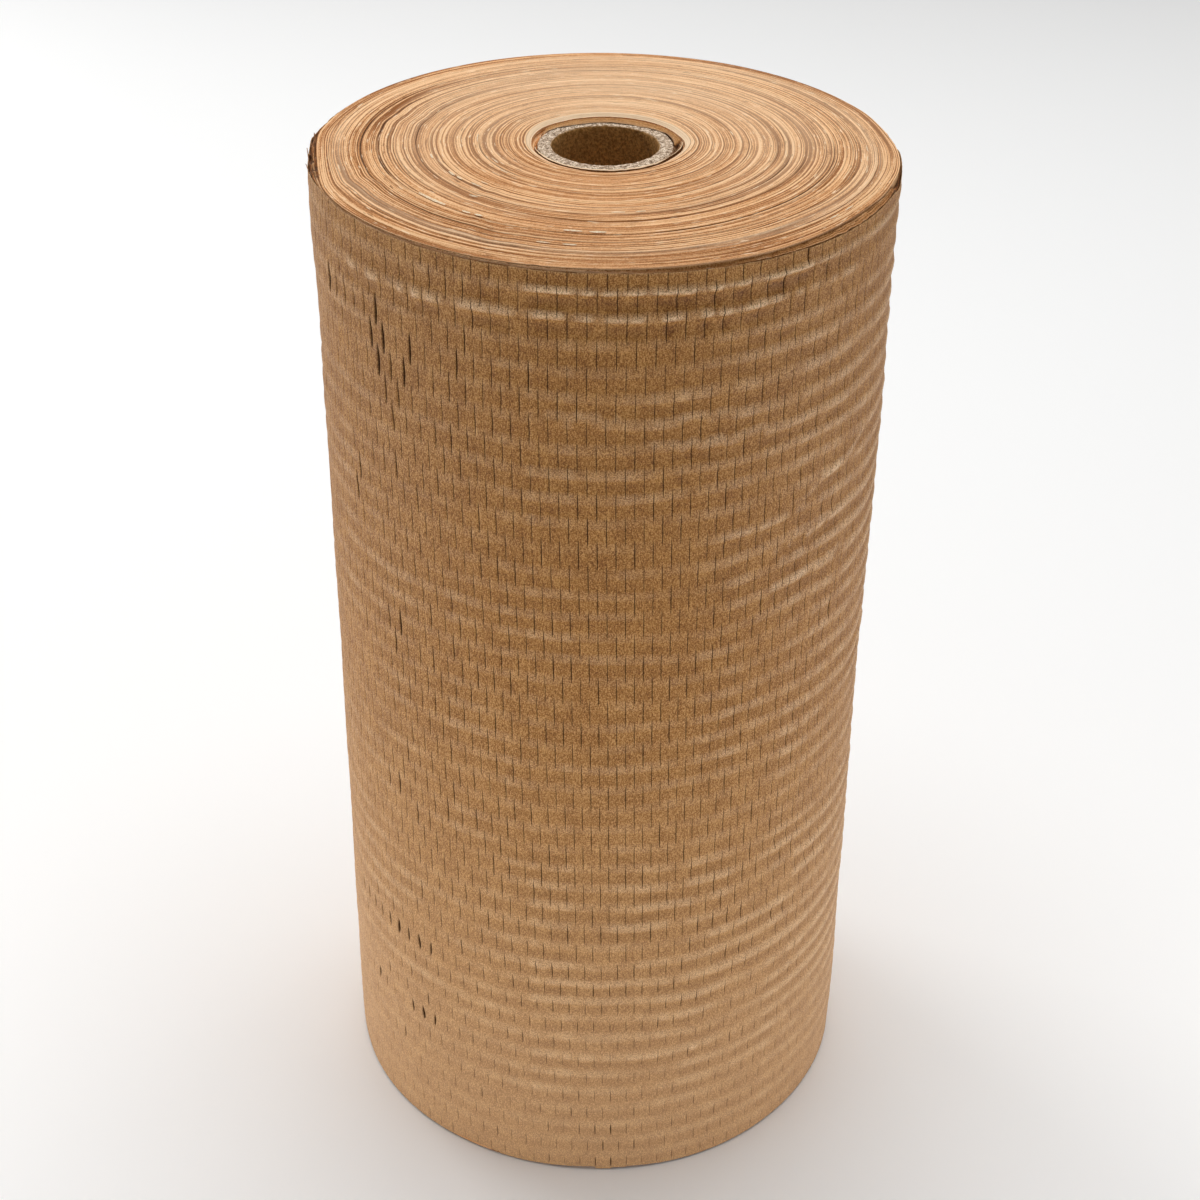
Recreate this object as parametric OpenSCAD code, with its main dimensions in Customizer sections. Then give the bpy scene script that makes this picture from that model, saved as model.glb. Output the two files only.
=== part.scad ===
/* [Roll] */
// Width of the paper web, which is the height of the standing roll
web_width = 400; // [380:5:420]
// Outer diameter of the wound roll
roll_d = 208; // [204:1:212]
// How far the turns next to the core have crept up above the outer turns
creep = 3; // [1:0.5:4]
// How far the last few turns have slipped down at the top rim
rim_drop = 1.2; // [0.4:0.2:2]
// Radial depth of the last few turns that have slipped down
rim_drop_w = 2.2; // [1:0.2:4]
// Thickness of one turn, which is also the step at the loose tail
turn_t = 0.13; // [0.1:0.01:0.3]
// Where the tail's edge lies, counted round from +X
tail_angle = 118; // [80:1:140]

/* [Core] */
// Bore of the chipboard core (1.5 inch)
core_bore = 38.1; // [36:0.1:40]
// Outer diameter of the chipboard core
core_od = 48; // [46:0.1:50]
// How far the core end stands above the top rim
core_rise = 1.4; // [0:0.1:2.5]
// Chamfer on the four edges of the core
core_chamfer = 0.4; // [0.1:0.1:1]

/* [Loose inner turns] */
// Diameter of the opening that the loose inner turns leave round the core
mouth_d = 52.4; // [51:0.2:54]
// Sideways shift of that opening from the roll axis
mouth_shift = 1.3; // [0:0.1:1.6]
// Depth over which the opening closes down on the core
mouth_depth = 9; // [5:1:20]

/* [Puckers] */
// Depth of the cross ripples that the slits leave in the outer turn
pucker = 0.35; // [0.1:0.05:0.8]
// Waist: how much thinner the roll is at half its height
waist = 0.3; // [0:0.1:0.6]

/* [Slits] */
// Slit columns round the outer turn
columns = 205; // [201:2:209]
// Height from one slit to the next in one column
slit_pitch = 18.8; // [18:0.1:19.4]
// Length of a slit that has sprung open
slit_len = 11; // [8:0.5:13]
// Width of a slit that has sprung open
slit_gap = 0.9; // [0.4:0.1:1.4]
// Depth of an open slit, down to the turns below
slit_depth = 0.4; // [0.2:0.1:0.6]

/* [Hidden] */
$fn = 180;

R = roll_d / 2;
core_r = core_od / 2;
half_row = slit_pitch / 2;
top_flat = R - rim_drop_w;        // radius where the slipped turns begin
rows = floor(web_width / half_row);

// Slits that have sprung open, one run to a line:
// [half rows below the top rim, first column, slits in the run].
// Column 0 faces the front and the count grows to the right. Slits that
// share a height are two columns apart, and the half rows between them
// are staggered by one column, as the cutting die leaves them.
open_runs = [
    [3, -36, 6], [4, -27, 2], [5, -26, 3], [6, -25, 2], [7, -24, 1],
    [4, -16, 2], [8, -41, 1], [9, -24, 2], [11, -31, 2], [13, -30, 1],
    [16, -26, 2], [17, -27, 1], [17, -18, 2], [19, -21, 2],
    [23, -30, 2], [24, -27, 2], [25, -30, 1], [24, -17, 2], [25, 24, 1],
    [32, -44, 3], [33, -37, 4], [34, -29, 3], [35, -23, 3],
    [36, -38, 2], [37, -33, 4], [38, -25, 3], [39, -18, 2]
];

// Height of the top edge of the turn at radius r: the end is a low
// plateau that falls away over the outer turns and is highest beside the
// core.
function dome(r) =
    let (x = (r - core_r) / (top_flat - core_r))
    creep * (0.73 * (1 - pow(x, 8)) + 0.27 * (1 - x));

// Height of the bottom edge of the same turn: every turn is one web wide,
// so the bottom is dished as the top is domed, but the outer part has
// settled flat on its edges.
function dish(r) = max(0, dome(r) - 0.72 * creep);

// Radius of the outer turn at height z: a shallow waist and a ripple in
// each half row between slits.
function side_r(z) =
    R - turn_t - pucker
    - waist * pow(sin(180 * z / web_width), 2)
    + pucker * (0.5 - 0.5 * cos(360 * z / half_row));

// Heights up the side, two to a ripple: a trough and a crest.
side_z = [for (i = [1 : rows * 2 - 1])
    if (i * half_row / 2 < web_width - rim_drop - 0.8) i * half_row / 2];

module wound_section() {
    n_end = 20;                    // steps across each end
    polygon(concat(
        // bottom end, from the core out to the rim
        [for (i = [0 : n_end])
            let (r = core_r + (top_flat - core_r) * sin(90 * i / n_end),
                 r_in = core_r + (top_flat - core_r) * sin(90 * (i - 1) / n_end))
            if (i == 0 || i == n_end || dish(r_in) > 0) [r, dish(r)]],
        // bottom edge of the outer turn
        [[R - pucker - 0.6, 0]],
        // side, from the bottom up to the slipped turns
        [for (z = side_z) [side_r(z), z]],
        // the slipped turns and the step up to the rest of the end
        [[R - pucker - 0.6, web_width - rim_drop],
         [top_flat + 0.15, web_width - rim_drop + 0.1]],
        // top end, from the rim back in to the core
        [for (i = [0 : n_end])
            let (r = core_r + (top_flat - core_r) * cos(90 * i / n_end))
            [r, web_width + dome(r)]]
    ));
}

// The outer turn winds in: it is one turn proud at the free tail, which
// ends in a straight edge at the back of the roll, and half a turn proud
// over the next third of the way round.
module outer_turn(extra, angle) {
    rotate_extrude(angle = angle)
        polygon(concat(
            [[R - 3, side_z[0]]],
            [for (z = side_z) [side_r(z) + extra, z]],
            [[R - 3, side_z[len(side_z) - 1]]]
        ));
}

// Opening left by the loose inner turns: wider at the end than below, and
// pushed over to one side.
module mouth() {
    translate([mouth_shift, mouth_shift * 0.7, web_width + creep - mouth_depth])
        cylinder(d1 = core_od + 1.2, d2 = mouth_d + 0.6, h = mouth_depth + 1);
}

// One open slit: a pointed lens cut through the outer turn.
module open_slit(size_k) {
    translate([0, 0, R - slit_depth])
        linear_extrude(height = 3)
            polygon([
                [0, -slit_len / 2 * size_k],
                [slit_gap / 2 * size_k, -slit_len * 0.12],
                [slit_gap / 2 * size_k, slit_len * 0.16],
                [0, slit_len / 2 * size_k],
                [-slit_gap / 2 * size_k, slit_len * 0.12],
                [-slit_gap / 2 * size_k, -slit_len * 0.16]
            ]);
}

module open_slits() {
    for (run = open_runs)
        for (n = [0 : run[2] - 1])
            rotate([0, 0, (run[1] + 2 * n) * 360 / columns])
                translate([0, 0, web_width - run[0] * half_row])
                    rotate([90, 0, 0])
                        open_slit(0.8 + 0.25 * abs(sin(97 * (run[0] + 3 * n))));
}

module paper_roll() {
    color("#b58a5c")
    difference() {
        union() {
            rotate_extrude() wound_section();
            rotate([0, 0, tail_angle - 240]) outer_turn(turn_t / 2, 120);
            rotate([0, 0, tail_angle - 120]) outer_turn(turn_t, 120);
        }
        mouth();
        open_slits();
    }
}

module core_tube() {
    color("#a89a8a")
    translate([0, 0, core_rise])
        rotate_extrude()
            polygon([
                [core_bore / 2, core_chamfer],
                [core_bore / 2 + core_chamfer, 0],
                [core_r - core_chamfer, 0],
                [core_r, core_chamfer],
                [core_r, web_width - core_chamfer],
                [core_r - core_chamfer, web_width],
                [core_bore / 2 + core_chamfer, web_width],
                [core_bore / 2, web_width - core_chamfer]
            ]);
}

paper_roll();
core_tube();
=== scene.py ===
import math

import bpy
import numpy as np
from mathutils import Matrix, Vector


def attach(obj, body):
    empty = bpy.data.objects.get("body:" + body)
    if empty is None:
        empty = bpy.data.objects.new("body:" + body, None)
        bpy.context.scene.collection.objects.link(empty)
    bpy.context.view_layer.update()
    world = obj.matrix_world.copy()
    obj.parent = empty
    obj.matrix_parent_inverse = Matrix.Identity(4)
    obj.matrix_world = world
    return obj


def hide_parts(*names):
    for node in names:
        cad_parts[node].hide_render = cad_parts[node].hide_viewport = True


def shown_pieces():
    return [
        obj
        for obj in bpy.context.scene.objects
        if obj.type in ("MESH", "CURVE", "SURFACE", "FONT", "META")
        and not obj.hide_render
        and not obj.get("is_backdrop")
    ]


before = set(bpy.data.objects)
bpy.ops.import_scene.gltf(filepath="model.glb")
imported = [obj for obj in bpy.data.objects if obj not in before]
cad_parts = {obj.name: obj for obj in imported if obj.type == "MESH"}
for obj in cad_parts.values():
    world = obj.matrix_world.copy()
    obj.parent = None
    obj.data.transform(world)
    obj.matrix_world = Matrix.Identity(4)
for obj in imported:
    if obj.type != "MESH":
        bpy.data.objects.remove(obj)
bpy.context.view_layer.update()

# ---------------------------------------------------------------- sizes, mm
WEB = 400.0          # height of the roll
R_MEAN = 103.9       # mean radius of the outer turn
R_CORE = 24.0        # outer radius of the core
R_BORE = 19.05
CORE_RISE = 1.4
CREEP = 3.0
R_FLAT = 101.8       # where the end starts to fall to the slipped turns

COLS = 205           # slit columns round the outer turn
PITCH = 2 * math.pi * R_MEAN / COLS
ROW = 9.4            # half the height from one slit to the next
SLIT = 12.8          # slit length

DEG = math.pi / 180


# ------------------------------------------------------------ small helpers
def smooth(a, b, x):
    t = np.clip((np.asarray(x, float) - a) / (b - a), 0, 1)
    return t * t * (3 - 2 * t)


def gauss(x, w):
    return np.exp(-np.square(np.asarray(x, float) / w))


def wrap_deg(d):
    return (np.asarray(d, float) + 180.0) % 360.0 - 180.0


def around(points, deg):
    """Smooth periodic curve through (degree, value) points."""
    pts = sorted(points)
    xs = np.array([p[0] for p in pts], float)
    ys = np.array([p[1] for p in pts], float)
    xs = np.concatenate([xs[-2:] - 360, xs, xs[:2] + 360])
    ys = np.concatenate([ys[-2:], ys, ys[:2]])
    d = np.asarray(deg, float)
    lo = xs[2]
    d = (d - lo) % 360.0 + lo
    i = np.clip(np.searchsorted(xs, d, side="right") - 1, 1, len(xs) - 3)
    x0, x1 = xs[i], xs[i + 1]
    t = (d - x0) / (x1 - x0)
    m0 = (ys[i + 1] - ys[i - 1]) / (xs[i + 1] - xs[i - 1]) * (x1 - x0)
    m1 = (ys[i + 2] - ys[i]) / (xs[i + 2] - xs[i]) * (x1 - x0)
    t2, t3 = t * t, t * t * t
    return (
        (2 * t3 - 3 * t2 + 1) * ys[i]
        + (t3 - 2 * t2 + t) * m0
        + (-2 * t3 + 3 * t2) * ys[i + 1]
        + (t3 - t2) * m1
    )


def noise2(u, v, nu, nv, seed):
    """Smooth noise, about -1 to 1. u goes round once from 0 to 1; v runs from 0 to 1."""
    g = np.random.default_rng(seed).uniform(-1, 1, (nv + 3, nu))
    x = (np.asarray(u, float) % 1.0) * nu
    y = np.clip(np.asarray(v, float), 0, 1) * nv
    x, y = np.broadcast_arrays(x, y)
    i, j = np.floor(x).astype(int), np.floor(y).astype(int)
    fx, fy = x - i, y - j
    fx, fy = fx * fx * (3 - 2 * fx), fy * fy * (3 - 2 * fy)
    i0, i1 = i % nu, (i + 1) % nu
    a = g[j, i0] * (1 - fx) + g[j, i1] * fx
    b = g[j + 1, i0] * (1 - fx) + g[j + 1, i1] * fx
    return a * (1 - fy) + b * fy


def cyl(s_deg, r, z):
    """Point from the angle seen from the front (to the right), radius and height."""
    a = np.asarray(s_deg, float) * DEG
    r = np.asarray(r, float)
    z = np.asarray(z, float) + 0 * r
    return np.stack([r * np.sin(a), -r * np.cos(a), z + 0 * a], -1)


def dome(r):
    x = np.clip((np.asarray(r, float) - R_CORE) / (R_FLAT - R_CORE), 0, 1.02)
    return np.maximum(CREEP * (0.73 * (1 - x**8) + 0.27 * (1 - x)), 0.0)


def vertex_normals(co, quads):
    """Area-weighted normals at the vertices of a quad mesh."""
    a, b, c, d = (co[quads[:, k]] for k in range(4))
    n = np.cross(c - a, d - b)
    out = np.zeros_like(co)
    for k in range(4):
        np.add.at(out, quads[:, k], n)
    return out / np.maximum(np.linalg.norm(out, axis=1, keepdims=True), 1e-12)


def build(name, co, quads, attrs=None, uv=None, normals=None, smooth_faces=True):
    """A mesh object from points in mm, quads (a repeated corner makes a triangle), vertex attributes and corner UVs."""
    co = np.asarray(co, np.float64)
    quads = np.asarray(quads, np.int64)
    me = bpy.data.meshes.new(name)
    me.vertices.add(len(co))
    me.vertices.foreach_set("co", (co * 0.001).astype(np.float32).ravel())
    me.loops.add(quads.size)
    me.loops.foreach_set("vertex_index", quads.astype(np.int32).ravel())
    me.polygons.add(len(quads))
    me.polygons.foreach_set(
        "loop_start", (np.arange(len(quads), dtype=np.int32) * quads.shape[1])
    )
    flags = np.broadcast_to(np.asarray(smooth_faces, bool), (len(quads),))
    me.polygons.foreach_set("use_smooth", np.ascontiguousarray(flags))
    for key, val in (attrs or {}).items():
        at = me.attributes.new(key, "FLOAT", "POINT")
        at.data.foreach_set("value", np.asarray(val, np.float32).ravel())
    if uv is not None:
        layer = me.uv_layers.new(name="OFBake")
        layer.data.foreach_set("uv", np.asarray(uv, np.float32).reshape(-1, 2).ravel())
    me.update()
    me.validate()
    if normals is not None:
        me.normals_split_custom_set_from_vertices(normals.astype(np.float32).tolist())
    o = bpy.data.objects.new(name, me)
    bpy.context.scene.collection.objects.link(o)
    return o


def grid_quads(nr, nc, closed=False):
    """Quads of a grid whose rows run up and columns run to the right, faces outwards."""
    i = np.arange(nr - 1)[:, None]
    j = np.arange(nc if closed else nc - 1)[None, :]
    j1 = (j + 1) % nc
    q = np.stack([i * nc + j, i * nc + j1, (i + 1) * nc + j1, (i + 1) * nc + j], -1)
    return q.reshape(-1, 4)


# --------------------------------------------------------------- materials
class Nodes:
    """Short forms for a node material."""

    def __init__(self, name):
        self.mat = bpy.data.materials.new(name)
        self.mat.use_nodes = True
        self.nt = self.mat.node_tree
        self.nt.nodes.clear()
        out = self.nt.nodes.new("ShaderNodeOutputMaterial")
        self.bsdf = self.nt.nodes.new("ShaderNodeBsdfPrincipled")
        self.nt.links.new(self.bsdf.outputs[0], out.inputs[0])

    def put(self, node, key, value):
        sock = node.inputs[key]
        if isinstance(value, bpy.types.NodeSocket):
            self.nt.links.new(value, sock)
        else:
            sock.default_value = value

    def attr(self, name):
        n = self.nt.nodes.new("ShaderNodeAttribute")
        n.attribute_type = "GEOMETRY"
        n.attribute_name = name
        return n.outputs["Fac"]

    def coords(self):
        return self.nt.nodes.new("ShaderNodeTexCoord").outputs["Object"]

    def scaled(self, vec, scale):
        n = self.nt.nodes.new("ShaderNodeMapping")
        self.put(n, "Vector", vec)
        n.inputs["Scale"].default_value = scale
        return n.outputs[0]

    def noise(self, vec, scale, detail=2.0, rough=0.5, distort=0.0):
        n = self.nt.nodes.new("ShaderNodeTexNoise")
        n.noise_dimensions = "3D"
        self.put(n, "Vector", vec)
        self.put(n, "Scale", scale)
        self.put(n, "Detail", detail)
        self.put(n, "Roughness", rough)
        self.put(n, "Distortion", distort)
        return n.outputs["Fac"]

    def math(self, op, a, b=0.0, c=None, clamp=False):
        n = self.nt.nodes.new("ShaderNodeMath")
        n.operation = op
        n.use_clamp = clamp
        self.put(n, 0, a)
        self.put(n, 1, b)
        if c is not None:
            self.put(n, 2, c)
        return n.outputs[0]

    def remap(self, x, a, b, c=0.0, d=1.0):
        n = self.nt.nodes.new("ShaderNodeMapRange")
        n.clamp = True
        self.put(n, "Value", x)
        for k, v in zip(("From Min", "From Max", "To Min", "To Max"), (a, b, c, d)):
            n.inputs[k].default_value = v
        return n.outputs[0]

    def mix(self, fac, a, b, mode="MIX"):
        n = self.nt.nodes.new("ShaderNodeMix")
        n.data_type = "RGBA"
        n.blend_type = mode
        n.clamp_factor = True
        self.put(n, 0, fac)
        for k, v in ((6, a), (7, b)):
            if isinstance(v, tuple) and len(v) == 3:
                v = (*v, 1.0)
            self.put(n, k, v)
        return n.outputs[2]

    def combine(self, x, y, z):
        n = self.nt.nodes.new("ShaderNodeCombineXYZ")
        for k, v in enumerate((x, y, z)):
            self.put(n, k, v)
        return n.outputs[0]

    def split(self, vec):
        n = self.nt.nodes.new("ShaderNodeSeparateXYZ")
        self.put(n, 0, vec)
        return n.outputs

    def bump(self, height, distance, strength=1.0, normal=None):
        n = self.nt.nodes.new("ShaderNodeBump")
        n.inputs["Strength"].default_value = strength
        n.inputs["Distance"].default_value = distance
        self.put(n, "Height", height)
        if normal is not None:
            self.put(n, "Normal", normal)
        return n.outputs[0]

    def finish(self, color, roughness, normal=None, specular=0.5, **constants):
        self.put(self.bsdf, "Base Color", color)
        self.put(self.bsdf, "Roughness", roughness)
        if normal is not None:
            self.put(self.bsdf, "Normal", normal)
        self.bsdf.inputs["Specular IOR Level"].default_value = specular
        for k, v in constants.items():
            self.bsdf.inputs[k.replace("_", " ")].default_value = v
        return self.mat


def grey(v):
    return (v, v, v)


def side_color(n, pos):
    """Kraft web seen face on: fibre speckle, cloudy formation, faint streaks along the web."""
    dark = (0.235, 0.092, 0.021)
    base = (0.440, 0.206, 0.058)
    pale = (0.690, 0.396, 0.162)
    speck = n.noise(pos, 2300.0, 1.0, 0.5)
    fib = n.noise(n.scaled(pos, (1.0, 1.0, 0.35)), 2500.0, 1.0, 0.5, 0.4)
    cloud = n.noise(pos, 120.0, 3.0, 0.6)
    tone = n.math("ADD", n.math("MULTIPLY", speck, 0.50), n.math("MULTIPLY", fib, 0.36))
    tone = n.math("ADD", tone, n.math("MULTIPLY", cloud, 0.14))
    col = n.mix(n.remap(tone, 0.395, 0.50), dark, base)
    col = n.mix(n.remap(tone, 0.50, 0.615), col, pale)
    return col, tone, speck, fib


def wrap_material():
    n = Nodes("kraft_web")
    pos = n.coords()
    col, tone, speck, fib = side_color(n, pos)
    z = n.split(pos)[2]
    # painted light and shade: paler and greyer towards the floor, where the floor's bounce light falls, deeper in tone
    # towards the top rim
    low = n.remap(z, 0.22, 0.0)
    col = n.mix(n.math("MULTIPLY", low, 0.44), col, (0.64, 0.41, 0.235))
    deep = n.remap(z, 0.06, 0.27)
    col = n.mix(deep, col, n.mix(1.0, col, (0.87, 0.79, 0.565), "MULTIPLY"))
    # crests of the puckers: glossier, with a painted highlight; troughs between them: painted shade
    crest = n.attr("crest")
    spark = n.math("MULTIPLY", crest, n.remap(speck, 0.36, 0.60, 0.25, 1.0))
    col = n.mix(n.math("MULTIPLY", spark, 0.85), col, (0.92, 0.64, 0.38))
    col = n.mix(n.remap(crest, 0.0, -1.0), col, n.mix(1.0, col, (0.66, 0.58, 0.46), "MULTIPLY"))
    # cut edges at the two rims
    edge = n.attr("edge")
    edge_col = n.mix(n.remap(speck, 0.35, 0.65), (0.36, 0.17, 0.055), (0.74, 0.46, 0.22))
    col = n.mix(edge, col, edge_col)
    # inner side of the outer turn, where it stands off the roll: painted shade, dark brown in the gap behind it
    inner = n.attr("inner")
    col = n.mix(inner, col, n.mix(n.remap(tone, 0.4, 0.6), (0.12, 0.055, 0.018), (0.24, 0.12, 0.045)))
    # slits: painted shade down in each slit, darkest at its middle
    gap = n.attr("gap")
    dark = n.mix(n.remap(speck, 0.3, 0.7), (0.022, 0.008, 0.001), (0.072, 0.028, 0.005))
    col = n.mix(n.remap(gap, 0.02, 0.46), col, dark)
    rough = n.math("SUBTRACT", n.remap(tone, 0.38, 0.62, 0.64, 0.52), n.math("MULTIPLY", n.math("MAXIMUM", spark, 0.0), 0.20))
    rough = n.math("MAXIMUM", rough, n.remap(gap, 0.02, 0.40, 0.0, 0.98))
    h = n.math("ADD", n.math("MULTIPLY", speck, 0.6), n.math("MULTIPLY", fib, 0.4))
    nor = n.bump(h, 0.00026, 0.6)
    return n.finish(col, rough, nor, specular=0.28)


def end_material(name, shade=1.0):
    """Cut edges of the turns: fine lines that follow each turn."""
    n = Nodes(name)
    pos = n.coords()
    x, y, z = n.split(pos)
    turn = n.attr("turn")                       # mm from the axis, along each turn
    fine = n.noise(n.combine(n.math("MULTIPLY", turn, 1.95), n.math("MULTIPLY", x, 11.0), n.math("MULTIPLY", y, 11.0)), 1.0, 1.0, 0.5)
    fine2 = n.noise(n.combine(n.math("MULTIPLY", turn, 0.95), n.math("MULTIPLY_ADD", x, 7.0, 3.7), n.math("MULTIPLY", y, 7.0)), 1.0, 2.0, 0.6)
    band = n.noise(n.combine(n.math("MULTIPLY", turn, 0.30), n.math("MULTIPLY_ADD", x, 5.0, 9.1), n.math("MULTIPLY", y, 5.0)), 1.0, 2.0, 0.6)
    blotch = n.noise(pos, 140.0, 3.0, 0.6)
    grain = n.noise(pos, 2000.0, 2.0, 0.6)
    t = n.math("ADD", n.math("MULTIPLY", fine, 0.60), n.math("MULTIPLY", fine2, 0.13))
    t = n.math("ADD", t, n.math("MULTIPLY", band, 0.02))
    t = n.math("ADD", t, n.math("MULTIPLY", grain, 0.19))
    t = n.math("ADD", t, n.math("MULTIPLY", blotch, 0.06))
    # painted light and shade: the lines get more contrast to the two sides, where the light grazes the turn edges
    xx = n.math("MULTIPLY", x, x)
    lateral = n.math("DIVIDE", xx, n.math("ADD", n.math("ADD", xx, n.math("MULTIPLY", y, y)), 0.00001))
    gain = n.math("MULTIPLY_ADD", lateral, 0.60, 1.0)
    gain = n.math("MULTIPLY", gain, n.remap(turn, 56.0, 78.0, 0.82, 1.08))
    t = n.math("MULTIPLY_ADD", n.math("SUBTRACT", t, 0.5), gain, 0.5)
    dark = (0.27 * shade, 0.100 * shade, 0.026 * shade)
    mid = (0.595 * shade, 0.274 * shade, 0.103 * shade)
    pale = (0.86 * shade, 0.535 * shade, 0.285 * shade)
    col = n.mix(n.remap(t, 0.405, 0.495), dark, mid)
    col = n.mix(n.remap(t, 0.495, 0.59), col, pale)
    fleck = n.noise(n.combine(n.math("MULTIPLY", turn, 2.0), n.math("MULTIPLY_ADD", x, 150.0, 5.0), n.math("MULTIPLY", y, 150.0)), 1.0, 1.0, 0.5)
    col = n.mix(n.remap(fleck, 0.66, 0.73, 0.0, 0.75), col, (0.95, 0.74, 0.50))
    col = n.mix(n.remap(fleck, 0.34, 0.28, 0.0, 0.8), col, (0.20, 0.072, 0.018))
    tint = n.attr("tint")                       # -1 darker and browner, +1 paler
    col = n.mix(n.remap(tint, 0.0, -1.0), col, n.mix(1.0, col, (0.62, 0.50, 0.38), "MULTIPLY"))
    col = n.mix(n.remap(tint, 0.0, 1.0, 0.0, 0.8), col, (0.90, 0.70, 0.475))
    # groove: painted shade in the gaps between turns, on the faces that go down under the rim's steps and down the
    # opening, with darker marks along the slack and torn turns of the rim
    groove = n.attr("groove")
    col = n.mix(n.remap(groove, 0.10, 0.62), col, n.mix(n.remap(grain, 0.3, 0.7), (0.055, 0.020, 0.006), (0.14, 0.055, 0.018)))
    # vertical faces that show the web's own face at the stepped rim
    side = n.attr("side")
    scol, stone, sspeck, sfib = side_color(n, pos)
    col = n.mix(side, col, n.mix(1.0, scol, (0.80, 0.76, 0.68), "MULTIPLY"))
    rough = n.remap(grain, 0.2, 0.8, 0.76, 0.60)
    h = n.math("ADD", n.math("MULTIPLY", fine, 0.55), n.math("MULTIPLY", fine2, 0.35))
    h = n.math("ADD", h, n.math("MULTIPLY", grain, 0.2))
    nor = n.bump(h, 0.0007, 0.8)
    return n.finish(col, rough, nor, specular=0.13)


def core_material():
    n = Nodes("chipboard_core")
    pos = n.coords()
    x, y, z = n.split(pos)
    inside = n.attr("inside")
    a = n.noise(pos, 850.0, 3.0, 0.65)
    b = n.noise(pos, 2600.0, 2.0, 0.6)
    t = n.math("ADD", n.math("MULTIPLY", a, 0.55), n.math("MULTIPLY", b, 0.45))
    endc = n.mix(n.remap(t, 0.40, 0.50), (0.10, 0.058, 0.034), (0.46, 0.325, 0.215))
    endc = n.mix(n.remap(t, 0.50, 0.60), endc, (0.90, 0.76, 0.60))
    fib = n.noise(n.scaled(pos, (1.0, 1.0, 0.9)), 1100.0, 3.0, 0.65)
    liner = n.mix(n.remap(fib, 0.40, 0.62), (0.33, 0.165, 0.042), (0.66, 0.365, 0.120))
    seam = n.attr("seam")
    liner = n.mix(n.math("MULTIPLY", seam, 0.6), liner, (0.12, 0.052, 0.015))
    col = n.mix(inside, endc, liner)
    nor = n.bump(t, 0.0006, 0.8)
    return n.finish(col, 0.82, nor, specular=0.25)


def flake_material():
    n = Nodes("torn_kraft")
    pos = n.coords()
    g = n.noise(pos, 1500.0, 3.0, 0.6)
    w = n.attr("tone")
    pale = n.mix(n.remap(g, 0.35, 0.65), (0.84, 0.61, 0.37), (1.0, 0.88, 0.66))
    brown = n.mix(n.remap(g, 0.35, 0.65), (0.13, 0.045, 0.012), (0.38, 0.16, 0.055))
    col = n.mix(w, brown, pale)
    return n.finish(col, 0.75, n.bump(g, 0.0002, 0.6), specular=0.3)


# ------------------------------------------------------------ the outer turn
def lean(z):
    """Sideways shift of the slit columns at height z, in columns: the web is wound a little askew."""
    return -0.63 + 0.00541 * np.maximum(0.0, 343.0 - z)


# Drop of the outer turn's top edge, and of the group of turns behind it, below the top rim
DROP_B = [(-180, 0.8), (-140, 0.8), (-118, 1.0), (-104, 1.2), (-97, 1.6), (-90, 2.3), (-83, 2.9), (-78, 1.9), (-73, 0.8), (-66, 0.55),
          (-56, 0.6), (-40, 0.85), (-18, 1.05), (0, 1.3), (15, 1.6), (30, 1.85), (48, 1.95), (62, 1.9), (71, 1.9), (75, 3.0), (79.5, 3.0),
          (83, 1.3), (92, 1.1), (96, 2.6), (102, 3.2), (120, 3.2), (142, 2.9), (149, 1.0), (160, 0.8)]
DROP_A = [(-180, 0.35), (-130, 0.4), (-106, 0.6), (-98, 1.2), (-90, 1.8), (-82, 1.9), (-77, 1.1), (-73, 0.4), (-66, 0.25), (-50, 0.3),
          (-30, 0.45), (-10, 0.5), (5, 0.75), (18, 0.9), (32, 1.0), (50, 1.0), (66, 1.0), (72, 1.1), (75.5, 2.7), (78.5, 3.0), (80.8, 1.0),
          (84, 0.5), (92, 0.5), (104, 0.5), (135, 0.35)]
BODY_R = [(-180, 102.9), (-118, 102.9), (-104, 103.0), (-97, 103.1), (-90.5, 102.0), (-86, 101.35), (-81, 101.1), (-76, 101.5), (-71, 102.3),
          (-67, 102.9), (-60, 103.2), (-52, 103.05), (-40, 102.9), (0, 102.9), (28, 102.6), (42, 101.7), (52, 101.3), (60, 101.25), (66, 101.8),
          (73, 102.2), (80, 103.0), (86, 103.2), (92, 103.1), (99, 102.5), (106, 102.6), (112, 102.9), (120, 102.5), (144, 102.6), (152, 102.9)]
PEEL = [(-180, 0.0), (-118, 0.0), (-106, 0.25), (-97, 0.95), (-92, 0.55), (-87, 0.1), (-82, 0.2), (-76, 0.08), (-68, 0.0), (-45, 0.0), (0, 0.0), (70, 0.0), (78, 0.12), (86, 0.0), (104, 0.0)]

# Slits that have sprung open: (column, slit number counted up from the floor, how far open)
OPEN = [(-36, 19, 1.0), (-34, 19, .9), (-32, 19, .8), (-30, 19, .55), (-28, 19, .8), (-26, 19, 1.0), (-27, 18, 1.0), (-25, 18, 1.0),
        (-21, 18, .75), (-26, 18, .95), (-24, 18, .9), (-22, 18, .8), (-23, 17, .9), (-25, 17, .6), (-24, 17, .85), (-32, 17, .5),
        (-33, 18, .5), (-34, 18, .7), (-41, 16, 1.0), (-15, 18, .5), (-7, 18, .35), (-14, 19, .4), (-16, 17, .3), (-24, 16, .5),
        (-21, 15, .35), (-31, 15, .6), (-30, 15, .7), (-32, 15, .65), (-31, 14, .8), (-31, 13, .6), (-25, 12, .85), (-27, 12, .6),
        (-26, 12, .45), (-20, 12, .4), (-17, 12, .3), (-20, 11, .4), (-18, 11, .35), (-24, 11, .35), (-30, 9, .45), (-29, 8, .55),
        (-27, 8, .6), (-26, 9, .3), (-30, 8, .4), (-19, 8, .45), (-18, 9, .4), (-15, 8, .5), (-24, 8, .4), (24, 8, .4),
        (-46, 19, .4), (-38, 17, .35), (-44, 14, .4), (-36, 12, .3)]


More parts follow.
